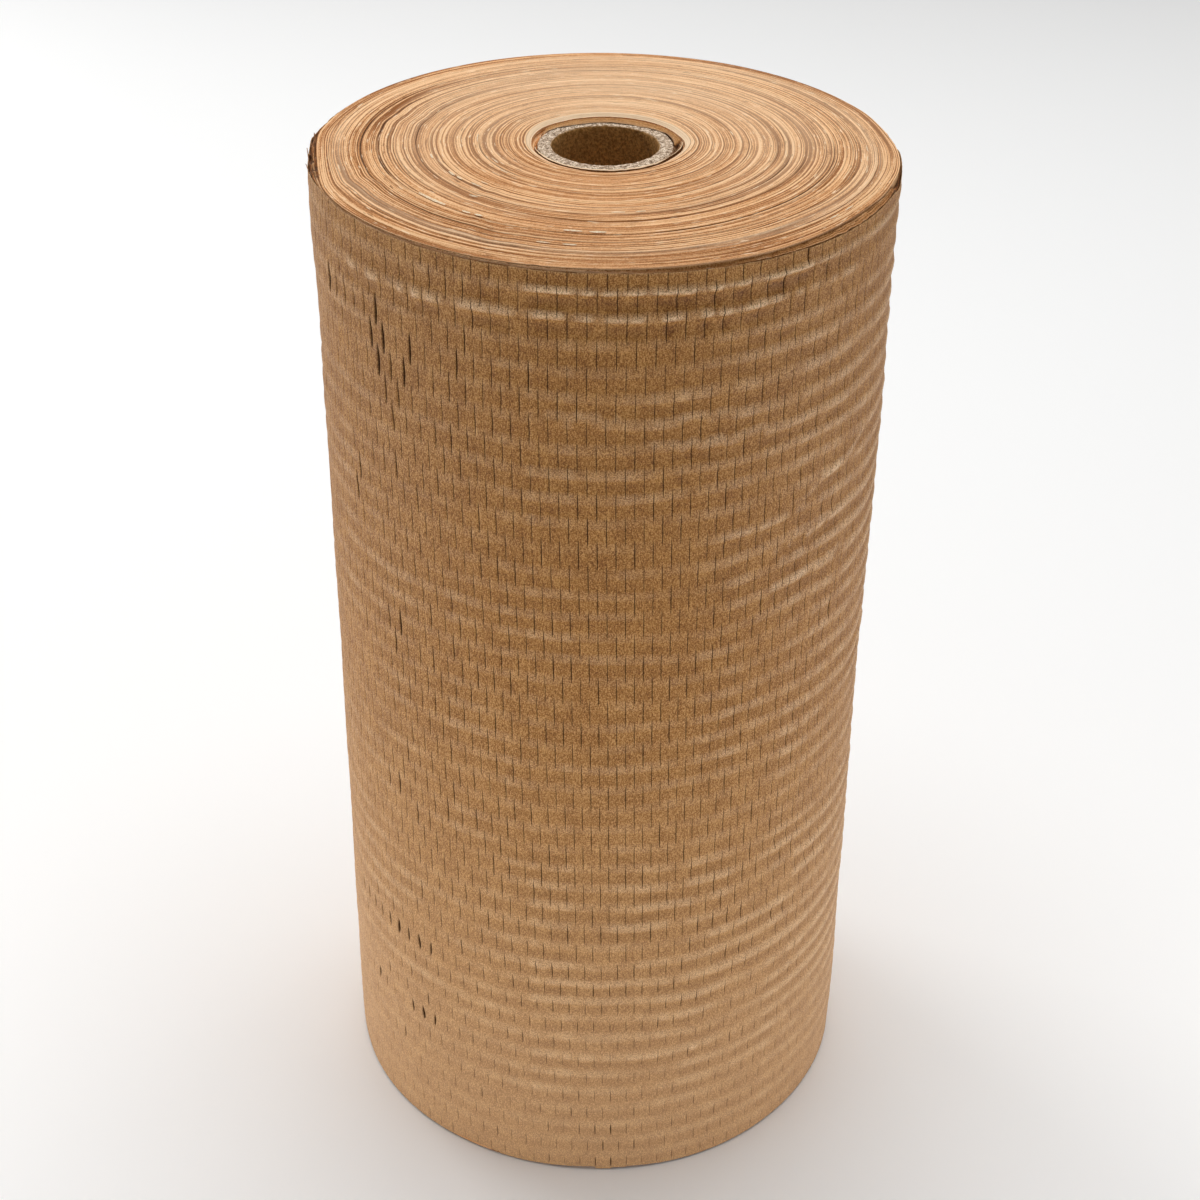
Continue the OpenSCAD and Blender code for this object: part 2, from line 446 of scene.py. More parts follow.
def slit_numbers():
    """Openness of every slit, by column and slit number."""
    rng = np.random.default_rng(77)
    o = 0.05 + 0.22 * rng.uniform(0, 1, (COLS, 24)) ** 1.8
    n = np.arange(COLS) - COLS // 2
    m = np.arange(24)
    # looser all over the left of the roll, tight at the right
    loose = np.exp(-np.square((n[:, None] + 22) / 30.0)) * 0.07
    o = o + loose * rng.uniform(0, 1, o.shape)
    for c, k, v in OPEN + OPEN_LOW:
        o[c + COLS // 2, k] = v
    # a scatter of half open ones on the back, which the slack web has all round
    for _ in range(60):
        c = rng.integers(0, COLS)
        if abs(c - COLS // 2) > 52:
            o[c, rng.integers(1, 22)] = rng.uniform(0.35, 0.9)
    slant = rng.uniform(-1, 1, o.shape)
    lift = rng.uniform(-1, 1, o.shape)
    dim = rng.uniform(0.35, 1.0, o.shape)
    return o, slant, lift, dim


# Open slits in two slanting bands at the lower left
OPEN_LOW = [(0, 0, .45), (1, 0, .55), (-1, 0, .4), (4, 0, .35), (-43, 4, .8), (-41, 4, .7), (-39, 4, .9), (-38, 4, .5), (-37, 4, .8), (-35, 4, .6), (-33, 4, .9), (-31, 4, .8), (-29, 4, 1.0),
            (-27, 4, .9), (-25, 4, .9), (-23, 4, .75), (-22, 5, .6), (-30, 5, .6), (-34, 5, .5), (-24, 6, .5), (-26, 4, .4), (-27, 3, .5),
            (-35, 2, .8), (-33, 2, .4), (-32, 3, .5), (-31, 2, .8), (-28, 3, .55), (-27, 2, .95), (-25, 2, .95), (-24, 3, .55),
            (-23, 2, .75), (-29, 1, .6), (31, 12, .6), (55, 18, .8), (43, 10, .9), (23, 20, .5), (20, 20, .4), (26, 20, .5)]

# Puckers that stand out one by one: (from s, to s, height there, height at the end, proud by, half width), mm
RIDGES = [(-34, 82, 392.0, 392.2, 0.66, 1.25), (-108, 94, 383.0, 382.4, 0.72, 1.35),
          (78, 118, 303.0, 314.5, 0.42, 1.8), (40, 84, 296.5, 300.0, 0.26, 1.8),
          (58, 100, 284.0, 289.0, 0.30, 2.0), (60, 120, 270.5, 275.0, 0.30, 2.0),
          (-22, 44, 349.0, 347.4, 0.20, 2.2), (6, 66, 338.6, 338.2, 0.16, 2.2),
          (-60, 10, 108.0, 106.0, 0.16, 2.4), (-20, 70, 62.0, 60.0, 0.18, 2.4)]


def side_offset(s, z):
    """How far the outer turn stands from its mean radius at arc position s and height z, in mm, and its crest value:
    above 0 a painted highlight and a glossier finish on the crests, below 0 painted shade in the troughs.
    """
    u = s / (2 * math.pi * R_MEAN) + 0.5
    v = z / WEB
    d = 0.30 * noise2(u, v, 9, 10, 11) + 0.13 * noise2(u, v, 24, 24, 12)
    d = d + 0.045 * noise2(u, v, 70, 60, 13)
    d = d - 0.25 * np.sin(np.pi * v) ** 2
    deg = s / R_MEAN / DEG
    left, right = gauss(wrap_deg(deg + 92), 34), gauss(wrap_deg(deg - 92), 34)
    d = d + left * (0.75 * gauss(z - 380, 17) - 0.3 * gauss(z - 330, 22))
    d = d + right * (0.45 * gauss(z - 300, 38) - 0.45 * gauss(z - 182, 36) + 0.55 * gauss(z - 28, 26))
    # cross puckers, one to a half row
    warp = 1.3 * noise2(u, v, 16, 14, 21) + 0.55 * noise2(u, v, 48, 40, 22)
    ph = (z - 383.4 - warp * smooth(380, 360, z)) / ROW
    c = 0.5 + 0.5 * np.cos(2 * np.pi * ph)
    crest = c**1.35
    k = np.round(ph)
    amp = 0.16 + 0.28 * smooth(25, 120, np.where(np.abs(s) > 200, 90, s))
    amp = amp + 0.17 * gauss(s - 35, 75) * smooth(190, 90, z) * smooth(10, 75, z)
    amp = amp + 0.08 * gauss(s - 10, 60)
    amp = np.where(np.abs(s) > 163, np.maximum(amp, 0.24), amp)
    amp = amp * (1.0 + 0.80 * noise2(u, v, 15, 24, 23)) * (1.0 + 0.60 * noise2(u, v, 64, 43, 24))
    amp = np.clip(amp, 0.03, 0.9) * smooth(399, 394, z) * (0.30 + 0.25 * smooth(2, 9, z) + 0.45 * smooth(8, 70, z))
    cell = 1.0 + 0.45 * noise2(u, (k * ROW + 20) / 460.0, COLS, 49, 25)
    d = d + amp * cell * (crest - 0.5)
    # painted highlight and a glossier finish on the crests, painted shade in the troughs
    gloss_and_painted_light = np.clip(amp * cell * 1.5, 0, 1) * (smooth(0.35, 0.95, c) * 0.55 - 0.35 * smooth(0.4, 0.0, c))
    for s0, s1, z0, z1, h, w in RIDGES:
        t = np.clip((s - s0) / (s1 - s0), 0, 1)
        zc = z0 + (z1 - z0) * t + 0.45 * noise2(u, 0 * v, 44, 1, int(z0 * 10)) + 0.9 * noise2(u, 0 * v, 13, 1, int(z0 * 10) + 1)
        along = smooth(s0 - 12, s0 + 16, s) * smooth(s1 + 14, s1 - 18, s)
        bumpy = 0.70 + 1.05 * noise2(u, 0 * v, COLS, 1, int(z0 * 10) + 2) + 0.35 * noise2(u, 0 * v, 31, 1, int(z0 * 10) + 3)
        bumpy = np.clip(bumpy, 0.05, 1.7) * (0.75 + 0.45 * gauss(s - 38, 45))
        dz = z - zc
        broad = smooth(-5, -55, s) * (z0 > 380) * (s > -160)
        w = w * (1 + 0.9 * broad)
        shape = np.where(dz > 0, np.exp(-np.square(dz / (w * 1.15))), np.exp(-np.square(dz / (w * 0.85))))
        valley = gauss(dz + 4.4, 2.4)
        d = d + along * h * bumpy * (shape - 0.38 * valley)
        # each ridge: painted highlight along its top, painted shade in the valley below it
        gloss_and_painted_light = gloss_and_painted_light + along * bumpy * (1 - 0.45 * broad) * (h / 0.6) * (gauss(dz - 0.25, w * 0.8) - 0.5 * gauss(dz + 3.4, 2.2))
    return d, np.clip(gloss_and_painted_light, -1, 1.4)


TAIL = -86            # the column beside which the free tail ends


def outer_turn():
    """The outer turn of the slit web, in eight panels that share their edges."""
    z_rows = np.concatenate([[0.0, 0.45], np.arange(1, 298) * (ROW / 7) + 0.2 - 0.06, ])
    z_rows = z_rows[z_rows < 398.2]
    z_rows = np.concatenate([z_rows, [398.9, 399.55, 400.0]])
    nz = len(z_rows)
    cols = np.arange(COLS) - COLS // 2
    o, slant, lift, dim = slit_numbers()
    nfrac = 5
    n_of = np.repeat(cols, nfrac)
    kind = np.tile(np.arange(nfrac), COLS)
    Z = np.repeat(z_rows[:, None], COLS * nfrac, 1)
    N = np.repeat(n_of[None, :], nz, 0)
    K = np.repeat(kind[None, :], nz, 0)
    # the slit that each vertex is part of: kinds 0 and 1 belong to this column, kind 4 to the next
    C = np.where(K == 4, N + 1, N)
    Cw = (C + COLS // 2) % COLS
    zc0 = 0.70 * 2 * ROW + np.where(C % 2 != 0, ROW, 0.0)
    m = np.round((Z - zc0) / (2 * ROW)).astype(int)
    zc = zc0 + m * 2 * ROW
    mi = np.clip(m, 0, 23)
    ok = o[Cw, mi]
    half = SLIT / 2 * (0.93 + 0.07 * dim[Cw, mi])
    t = (Z - zc) / half
    t = t * (1 + 0.9 * smooth(150, 70, zc))
    inside = np.abs(t) < 1
    lens = np.where(inside, np.clip(1 - t * t, 0, 1) ** 0.65, 0.0)
    wide = 0.11 + (0.06 + 0.34 * ok + 0.28 * smooth(0.6, 1.0, ok)) * lens
    depth = np.where(inside, (0.16 + 0.75 * ok) * np.clip(1 - np.abs(t) ** 5, 0, 1), 0.0)
    # gap: how much painted shade darkens the slit; more in slits that stand open
    gap = np.where(inside, np.clip(1 - np.abs(t) ** 8, 0, 1), 0.0)
    fade = 0.30 + 0.55 * dim[Cw, mi] * (0.78 - 0.22 * t)
    fade = fade * (0.40 + 0.60 * smooth(20, 150, zc))
    gap = gap * np.clip(fade + 0.75 * ok, 0, 1)
    shift = slant[Cw, mi] * t * 0.42 * smooth(0.3, 0.9, ok) * inside
    off = np.select(
        [K == 0, K == 1, K == 2, K == 3],
        [shift, wide + shift, 1.15 + 0 * Z, 2.04 + 0 * Z],
        PITCH - wide + shift,
    )
    tail_col = (N == TAIL) & (K == 2)
    off = np.where(tail_col, 2.01, off)
    # the closing column of the last cell meets the first, so the grid goes round without a seam
    S = PITCH * (N + lean(Z)) + off
    Sw = (S + np.pi * R_MEAN) % (2 * np.pi * R_MEAN) - np.pi * R_MEAN
    deg = Sw / R_MEAN / DEG
    d, gloss_and_painted_light = side_offset(Sw, Z)
    # strips between slits bow out a little; slit lips stand up on one side
    bow = np.select([K == 2, K == 3], [0.035, 0.035], 0.0)
    lipl = np.where(K == 1, 1.0, 0.0) * lift[Cw, mi] + np.where(K == 4, -1.0, 0.0) * lift[Cw, mi]
    up = lipl * lens * (0.035 + 0.26 * smooth(0.25, 1.0, ok)) + np.where((K == 1) | (K == 4), 1.0, 0.0) * lens * 0.10 * smooth(0.3, 1.0, ok)
    R = R_MEAN - 0.12 + d + bow + up
    R = R - np.where(K == 0, depth, 0.0)
    # free tail: one turn proud on the side towards it, lifted a little along its edge
    behind = N - TAIL + off / PITCH
    lifted = np.where((behind > 0.637) & (behind < 12), 0.34 * np.exp(-np.abs(behind - 0.64) / 2.2) + 0.13, 0.0)
    lifted = lifted * (1 + 0.6 * noise2(Z / WEB, 0 * Z, 14, 1, 31)) + np.where((behind > 0.637) & (behind < 60), 0.06, 0.0)
    R = R + lifted
    # peeled top edge
    peel = around(PEEL, deg)
    R = R + peel * smooth(386, 400, Z) ** 2 * (1 + 0.5 * noise2(deg / 360, 0 * Z, 60, 1, 32))
    # rounded bottom edge, pressed in where the roll stands on it
    R = R - 0.22 * smooth(1.6, 0.0, Z)
    # top edge: dropped, with a nick at each slit that runs out of it; bottom edge: small nicks and one torn tab
    rag = 0.10 * noise2(deg / 360, 0 * Z, 150, 1, 41) + 0.08 * noise2(deg / 360, 0 * Z, 420, 1, 42)
    torn = torn_part(deg)
    rag = rag + torn * (0.45 * noise2(deg / 360, 0 * Z, 210, 1, 43) + 0.35 * noise2(deg / 360, 0 * Z, 95, 1, 44))
    top = WEB - around(DROP_B, deg) + rag
    nick = np.where((K == 0) & (np.abs(399.5 - zc) < half), 0.45 + 0.5 * ok, 0.0)
    top = top - nick
    Zt = np.where(Z > 391, 391 + (Z - 391) * (top - 391) / 9.0, Z)
    foot = 0.10 + 0.09 * noise2(deg / 360, 0 * Z, 90, 1, 45)
    foot = foot + np.where((K == 0) & (np.abs(0.5 - zc) < half), 0.35, 0.0)
    tab = smooth(3.6, 2.9, np.abs(Sw - 3.9))
    foot = (foot + 1.10 * gauss(Sw - 2.0, 20.0) - 0.45 * smooth(13.9, 13.2, Sw) * smooth(6.4, 7.2, Sw)) * (1 - tab)
    Zt = np.where(Z < 5, Zt + np.maximum(foot, 0.0) * (1 - Z / 5), Zt)
    P = cyl(deg, R, Zt)
    edge = smooth(0.9, 0.1, Z) * 0.75 + smooth(399.3, 400.0, Z) * 0.8
    inner = 0 * Z
    # the turn's thickness at its top edge and the inner side behind it
    rows_in = []
    for dr, dz in ((0.16, 0.0), (0.30, -0.7), (0.42, -8.0)):
        rows_in.append(cyl(deg[-1], R[-1] - dr - (0.0 if dz > -1 else 0.25), Zt[-1] + dz + np.where(kind == 0, 0.0, 0.0)))
    P = np.concatenate([P, np.array(rows_in)], 0)
    gap = np.concatenate([gap, gap[-1:] * 0.5, gap[-1:] * 0.3, gap[-1:] * 0], 0)
    gap = np.where(K[0][None, :] == 0, gap, 0.0)
    crest = np.concatenate([gloss_and_painted_light, gloss_and_painted_light[-1:] * 0, gloss_and_painted_light[-1:] * 0, gloss_and_painted_light[-1:] * 0], 0)
    edge = np.concatenate([edge, edge[-1:], edge[-1:] * 0.4, edge[-1:] * 0], 0)
    # inner: painted shade on the inner side, down behind the top edge
    inner = np.concatenate([inner, inner[-1:], inner[-1:] + 0.8, inner[-1:] + 1], 0)
    nr, nc = P.shape[:2]
    q = grid_quads(nr, nc, closed=True)
    flat = P.reshape(-1, 3)
    nrm = vertex_normals(flat, q)
    mat = wrap_material()
    # four panels round and two high; their borders run up the middle of the strips
    names = ("front", "right", "back", "left")
    start = [(-26 - -102) * nfrac + 2, (25 - -102) * nfrac + 2, (76 - -102) * nfrac + 2, (128 - -102) * nfrac + 2]
    start.append(start[0] + nc)
    mid = int(np.argmin(np.abs(z_rows - 198)))
    made = []
    sgrid = np.concatenate([S, np.repeat(S[-1:], 3, 0)], 0)
    vgrid = np.concatenate([z_rows, [400.4, 401.2, 404.0]])
    for a in range(4):
        for half_name, r0, r1 in (("lower", 0, mid), ("upper", mid, nr - 1)):
            jj = np.arange(start[a], start[a + 1] + 1)
            ii = np.arange(r0, r1 + 1)
            idx = (ii[:, None] * nc + (jj % nc)[None, :])
            sub = flat[idx.ravel()]
            qq = grid_quads(len(ii), len(jj))
            turns = (jj // nc) * (2 * math.pi * R_MEAN)
            ss = sgrid[ii][:, jj % nc] + turns[None, :]
            uu = (ss - ss.min()) / (ss.max() - ss.min()) * 0.98 + 0.01
            vv = (vgrid[ii] - vgrid[r0]) / (vgrid[r1] - vgrid[r0]) * 0.98 + 0.01
            uvs = np.stack([uu, np.repeat(vv[:, None], len(jj), 1)], -1).reshape(-1, 2)
            o_ = build(
                f"outer_turn_{names[a]}_{half_name}",
                sub,
                qq,
                attrs={
                    "gap": gap.ravel()[idx.ravel()],
                    "crest": crest.ravel()[idx.ravel()],
                    "edge": edge.ravel()[idx.ravel()],
                    "inner": inner.ravel()[idx.ravel()],
                },
                uv=uvs[qq.ravel()],
                normals=nrm[idx.ravel()],
            )
            o_.data.materials.append(mat)
            made.append(o_)
    return made


# ------------------------------------------------------------- the two ends
WOBBLE = [(0, 0.95), (20, 0.1), (40, -0.85), (60, -0.45), (80, 0.25), (120, 0.1), (160, 0.05), (200, -0.5), (222, 0.1), (240, 0.8), (262, 0.35), (280, -0.4), (320, -0.5), (342, 0.2)]

# radius of the opening round the core, by angle from the front
MOUTH = [(0, 26.15), (20, 26.15), (45, 26.4), (65, 26.8), (80, 27.6), (90, 28.1), (98, 27.9), (110, 27.3), (128, 26.9), (150, 26.6),
         (180, 26.5), (205, 26.4), (222, 26.35), (232, 26.8), (250, 26.4), (270, 25.9), (290, 25.8), (315, 25.8), (340, 25.9)]

# Gaps between groups of turns, with painted shade in them: (turn radius, depth mm, half width mm, centre deg, half
# spread deg, darkness of the painted shade)
GAPS = [
    (80.2, 0.55, 0.30, 30, 62, 1.0), (80.2, 0.50, 0.28, 268, 36, 1.0), (80.4, 0.28, 0.30, 170, 70, 0.45), (79.5, 0.40, 0.22, 300, 34, 0.8),
    (81.3, 0.25, 0.20, 86, 26, 0.7), (79.0, 0.25, 0.18, 84, 22, 0.6), (82.0, 0.22, 0.18, 285, 22, 0.7),
    (86.0, 0.40, 0.28, 285, 58, 0.9), (86.0, 0.36, 0.26, 8, 34, 0.75), (85.6, 0.20, 0.24, 190, 60, 0.35), (87.0, 0.25, 0.2, 255, 30, 0.8),
    (88.9, 0.42, 0.30, 12, 44, 0.85), (89.4, 0.30, 0.22, 72, 26, 0.7), (88.2, 0.25, 0.2, 84, 24, 0.7), (86.6, 0.25, 0.2, 88, 20, 0.65), (84.4, 0.2, 0.18, 80, 24, 0.55),
    (93.4, 0.26, 0.40, 8, 42, 0.55), (93.8, 0.20, 0.3, 330, 30, 0.45), (95.4, 0.25, 0.2, 66, 26, 0.6), (97.0, 0.22, 0.16, 64, 24, 0.55), (98.3, 0.2, 0.16, 60, 22, 0.5),
    (96.4, 0.22, 0.16, 288, 30, 0.5), (94.6, 0.22, 0.16, 282, 26, 0.5), (92.8, 0.2, 0.16, 286, 28, 0.45), (98.6, 0.2, 0.16, 280, 24, 0.45),
    (92.4, 0.16, 0.3, 128, 22, 0.35), (99.2, 0.14, 0.3, 200, 40, 0.25),
    (76.6, 0.34, 0.26, 248, 44, 0.75), (74.6, 0.26, 0.20, 300, 36, 0.65), (75.8, 0.2, 0.18, 272, 34, 0.45), (77.6, 0.18, 0.2, 70, 24, 0.35),
    (70.5, 0.30, 0.30, 30, 58, 0.60), (72.4, 0.2, 0.2, 76, 24, 0.45), (71.2, 0.16, 0.2, 310, 40, 0.4), (69.5, 0.14, 0.25, 170, 50, 0.25),
    (65.2, 0.34, 0.28, 15, 70, 0.80), (66.6, 0.30, 0.22, 275, 60, 0.70), (64.6, 0.24, 0.18, 74, 26, 0.65), (67.4, 0.16, 0.2, 180, 60, 0.3),
    (62.8, 0.22, 0.2, 70, 40, 0.6), (60.6, 0.24, 0.2, 60, 40, 0.65), (61.6, 0.2, 0.18, 300, 46, 0.6), (63.2, 0.2, 0.16, 262, 26, 0.4),
    (58.8, 0.16, 0.2, 20, 50, 0.4), (55.9, 0.16, 0.2, 30, 50, 0.35), (53.4, 0.20, 0.22, 50, 46, 0.5), (52.6, 0.14, 0.2, 280, 50, 0.4), (54.6, 0.14, 0.2, 190, 70, 0.25),
    (50.4, 0.16, 0.2, 70, 34, 0.45), (49.2, 0.16, 0.24, 0, 60, 0.35), (47.4, 0.14, 0.2, 285, 44, 0.35),
    (44.4, 0.28, 0.34, 340, 80, 0.65), (44.6, 0.22, 0.26, 120, 90, 0.42), (42.6, 0.16, 0.18, 60, 50, 0.4), (40.6, 0.14, 0.2, 300, 60, 0.35),
    (38.0, 0.14, 0.2, 75, 40, 0.4), (36.2, 0.14, 0.2, 70, 36, 0.4), (35.6, 0.12, 0.25, 270, 60, 0.3), (33.4, 0.18, 0.5, 10, 60, 0.35), (32.2, 0.16, 0.22, 100, 60, 0.4), (30.6, 0.14, 0.2, 70, 40, 0.4), (31.4, 0.14, 0.24, 230, 70, 0.3),
    (28.8, 0.12, 0.2, 300, 60, 0.3),
]

# Pale lines where a group of turns stands proud
PALE = [
    (95.3, 0.16, 0.35, 6, 46, 0.6), (92.6, 0.18, 0.55, 4, 50, 0.7), (92.0, 0.14, 0.35, 330, 30, 0.5), (84.6, 0.16, 0.3, 12, 44, 0.6), (81.9, 0.14, 0.25, 36, 40, 0.5),
    (64.2, 0.18, 0.3, 0, 44, 0.75), (59.6, 0.18, 0.28, 12, 50, 0.7), (60.0, 0.14, 0.22, 60, 30, 0.5), (54.2, 0.16, 0.3, 6, 40, 0.6), (66.0, 0.14, 0.2, 68, 24, 0.5),
    (48.6, 0.14, 0.3, 16, 46, 0.5), (43.4, 0.14, 0.3, 20, 46, 0.45), (41.2, 0.14, 0.3, 10, 50, 0.45), (90.6, 0.12, 0.3, 70, 26, 0.4), (96.2, 0.12, 0.2, 66, 26, 0.6), (94.6, 0.12, 0.2, 70, 24, 0.5),
    (78.4, 0.16, 0.22, 330, 30, 0.45), (73.8, 0.12, 0.2, 296, 34, 0.45), (85.0, 0.10, 0.2, 284, 26, 0.4), (95.6, 0.12, 0.2, 286, 30, 0.45), (93.6, 0.12, 0.2, 284, 26, 0.45), (97.6, 0.12, 0.2, 282, 26, 0.4),
    (37.2, 0.12, 0.3, 80, 50, 0.4), (31.6, 0.12, 0.3, 60, 60, 0.45), (29.6, 0.12, 0.3, 50, 60, 0.4), (27.6, 0.16, 0.5, 180, 120, 0.5),
]


def turn_radius(T, deg):
    """Real radius at each angle of the turn whose mean radius is T: the turns aren't quite round."""
    big = smooth(30, 80, T)
    w = around(WOBBLE, deg) * (0.35 + 0.55 * big)
    w = w + 0.18 * noise2(deg / 360, (T - 20) / 90, 22, 7, 51) * big + 0.07 * noise2(deg / 360, (T - 20) / 90, 70, 12, 52)
    d = np.asarray(deg, float) % 360
    z1 = smooth(62, 68, T) * smooth(86, 82, T)
    w = w + z1 * (-0.50 * gauss(d - 250, 3.6) + 0.45 * gauss(d - 257.5, 3.6))
    z2 = smooth(83, 87, T) * smooth(102, 98, T)
    w = w + z2 * (0.45 * gauss(d - 292, 3.0) - 0.35 * gauss(d - 298, 3.4))
    z3 = smooth(78, 82, T) * smooth(97, 92, T)
    w = w + z3 * (0.40 * gauss(d - 337, 2.8) - 0.38 * gauss(d - 330, 3.0) - 0.2 * gauss(d - 343, 3.0))
    z4 = smooth(50, 56, T) * smooth(76, 71, T)
    w = w + z4 * (0.25 * gauss(d - 319, 1.8) - 0.22 * gauss(d - 323, 1.8))
    reg = T + w
    # towards the core the turns take the shape of the opening, towards the rim that of the outer turns
    a = smooth(26.0, 36.0, T)
    mouth = around(MOUTH, deg) + (T - 26.0)
    reg = mouth * (1 - a) + reg * a
    b = smooth(94.0, 101.6, T)
    rim = around(BODY_R, deg) - (102.9 - T)
    return reg * (1 - b) + rim * b


def end_profile(T, deg, seed):
    """Height of each turn's edge above or below the even surface, how much painted shade darkens its gap, and how pale
    its crest is.
    """
    u, v = deg / 360, (T - 20) / 90
    h = 0.085 * noise2(u, v, 8, 190, seed) + 0.11 * noise2(u, v, 7, 92, seed + 4) + 0.075 * noise2(u, v, 8, 46, seed + 1) + 0.06 * noise2(u, v, 6, 20, seed + 2)
    h = h * (0.66 + 0.40 * smooth(58, 76, T)) + 0.03 * noise2(u, v, 90, 200, seed + 3)
    dark, pale = 0 * h, 0 * h
    for tr, dep, w, c, sp, k in GAPS:
        along = smooth(1.25, 0.65, np.abs(wrap_deg(deg - c)) / sp) * (0.82 + 0.30 * noise2(u, 0 * v, 40, 1, int(tr * 10) + c))
        f = np.clip(along, 0, 1.2) * gauss(T - tr, w)
        h = h - dep * f
        dark = np.maximum(dark, k * np.clip(along, 0, 1.1) * gauss(T - tr, w * 0.9))
    for tr, up, w, c, sp, k in PALE:
        along = smooth(1.25, 0.65, np.abs(wrap_deg(deg - c)) / sp) * (0.8 + 0.35 * noise2(u, 0 * v, 60, 1, int(tr * 10) + c))
        f = np.clip(along, 0, 1.2) * gauss(T - tr, w)
        h = h + up * f
        pale = np.maximum(pale, k * f)
    return h, dark, pale


def torn_part(deg):
    """1 where the outer turns are torn at the top rim, 0 elsewhere."""
    pts = [(-180, 0), (-114, 0), (-104, .6), (-96, 1.0), (-84, 1.0), (-76, .8), (-70, .28), (-58, .15), (-44, 0), (66, 0), (73, .5), (77, 1.0), (81, .8), (86, .2), (98, .05), (108, 0)]
    return np.clip(around(pts, deg), 0, 1)


def lip_drop(T, deg):
    """The last turns round the opening sag towards it, most of all at the front."""
    front = gauss(wrap_deg(deg - 5), 62)
    w = 2.3 + 1.9 * front
    return (1.0 + 0.55 * front) * smooth(w, 0.0, T - 26.0)


def top_end():
    NA = 300
    deg = (np.arange(NA) + 0.5) * 360.0 / NA - 180.0
    main = np.linspace(26.0, 102.75, 326)
    T = np.repeat(main[:, None], NA, 1)
    D = np.repeat(deg[None, :], len(main), 0)
    R = turn_radius(T, D)
    R = R + smooth(28.5, 26.0, T) * (0.16 * noise2(D / 360, 0 * D, 17, 1, 57) + 0.10 * noise2(D / 360, 0 * D, 44, 1, 58))
    h, dark, pale = end_profile(T, D, 60)
    fall = smooth(26.0, 26.8, T) * smooth(102.9, 101.8, T)
    Z = WEB + dome(np.clip(R, 24, 102.6)) * smooth(103.6, 101.0, T) + h * (0.25 + 0.75 * fall) - lip_drop(T, D)
    # crushed patch at the left
    crush = gauss(wrap_deg(D - 256), 15) * gauss(T - 85.0, 2.6)
    Z = Z - 0.30 * crush
    left = gauss(wrap_deg(D - 285), 50)
    tint = 0.65 * pale - 0.45 * crush - (0.16 + 0.10 * left) * gauss(T - 84.5, 4.4)
    tint = tint - 0.14 * smooth(94.5, 97.0, T) * gauss(wrap_deg(D - 20), 70) - 0.06 * smooth(100.4, 102.6, T)
    tint = tint + 0.80 * smooth(28.4, 27.4, T) * (1 - 0.85 * gauss(wrap_deg(D - 5), 60)) - 0.22 * gauss(T - 31.5, 2.5) * gauss(wrap_deg(D - 5), 60)
    tint = tint + 0.09 * noise2(D / 360, (T - 20) / 90, 7, 26, 70) + 0.10 * gauss(T - 94.2, 1.3)
    # paler towards the back: painted sheen; a little paler also to the right and to the left
    tint = tint + 0.42 * gauss(wrap_deg(D - 175), 75) * smooth(101, 90, T) + 0.12 * gauss(wrap_deg(D - 80), 40) + 0.08 * gauss(wrap_deg(D - 285), 40)
    side = 0 * T
    P = cyl(D, R, Z).reshape(-1, 3)
    nr = len(main)
    q = grid_quads(nr, NA, closed=True)[:, ::-1]
    o = build("top_end", P, q, {"turn": T, "groove": dark, "tint": tint, "side": side}, closed_uv(q, nr, NA))
    o.data.materials.append(end_material("turn_edges"))
    return o


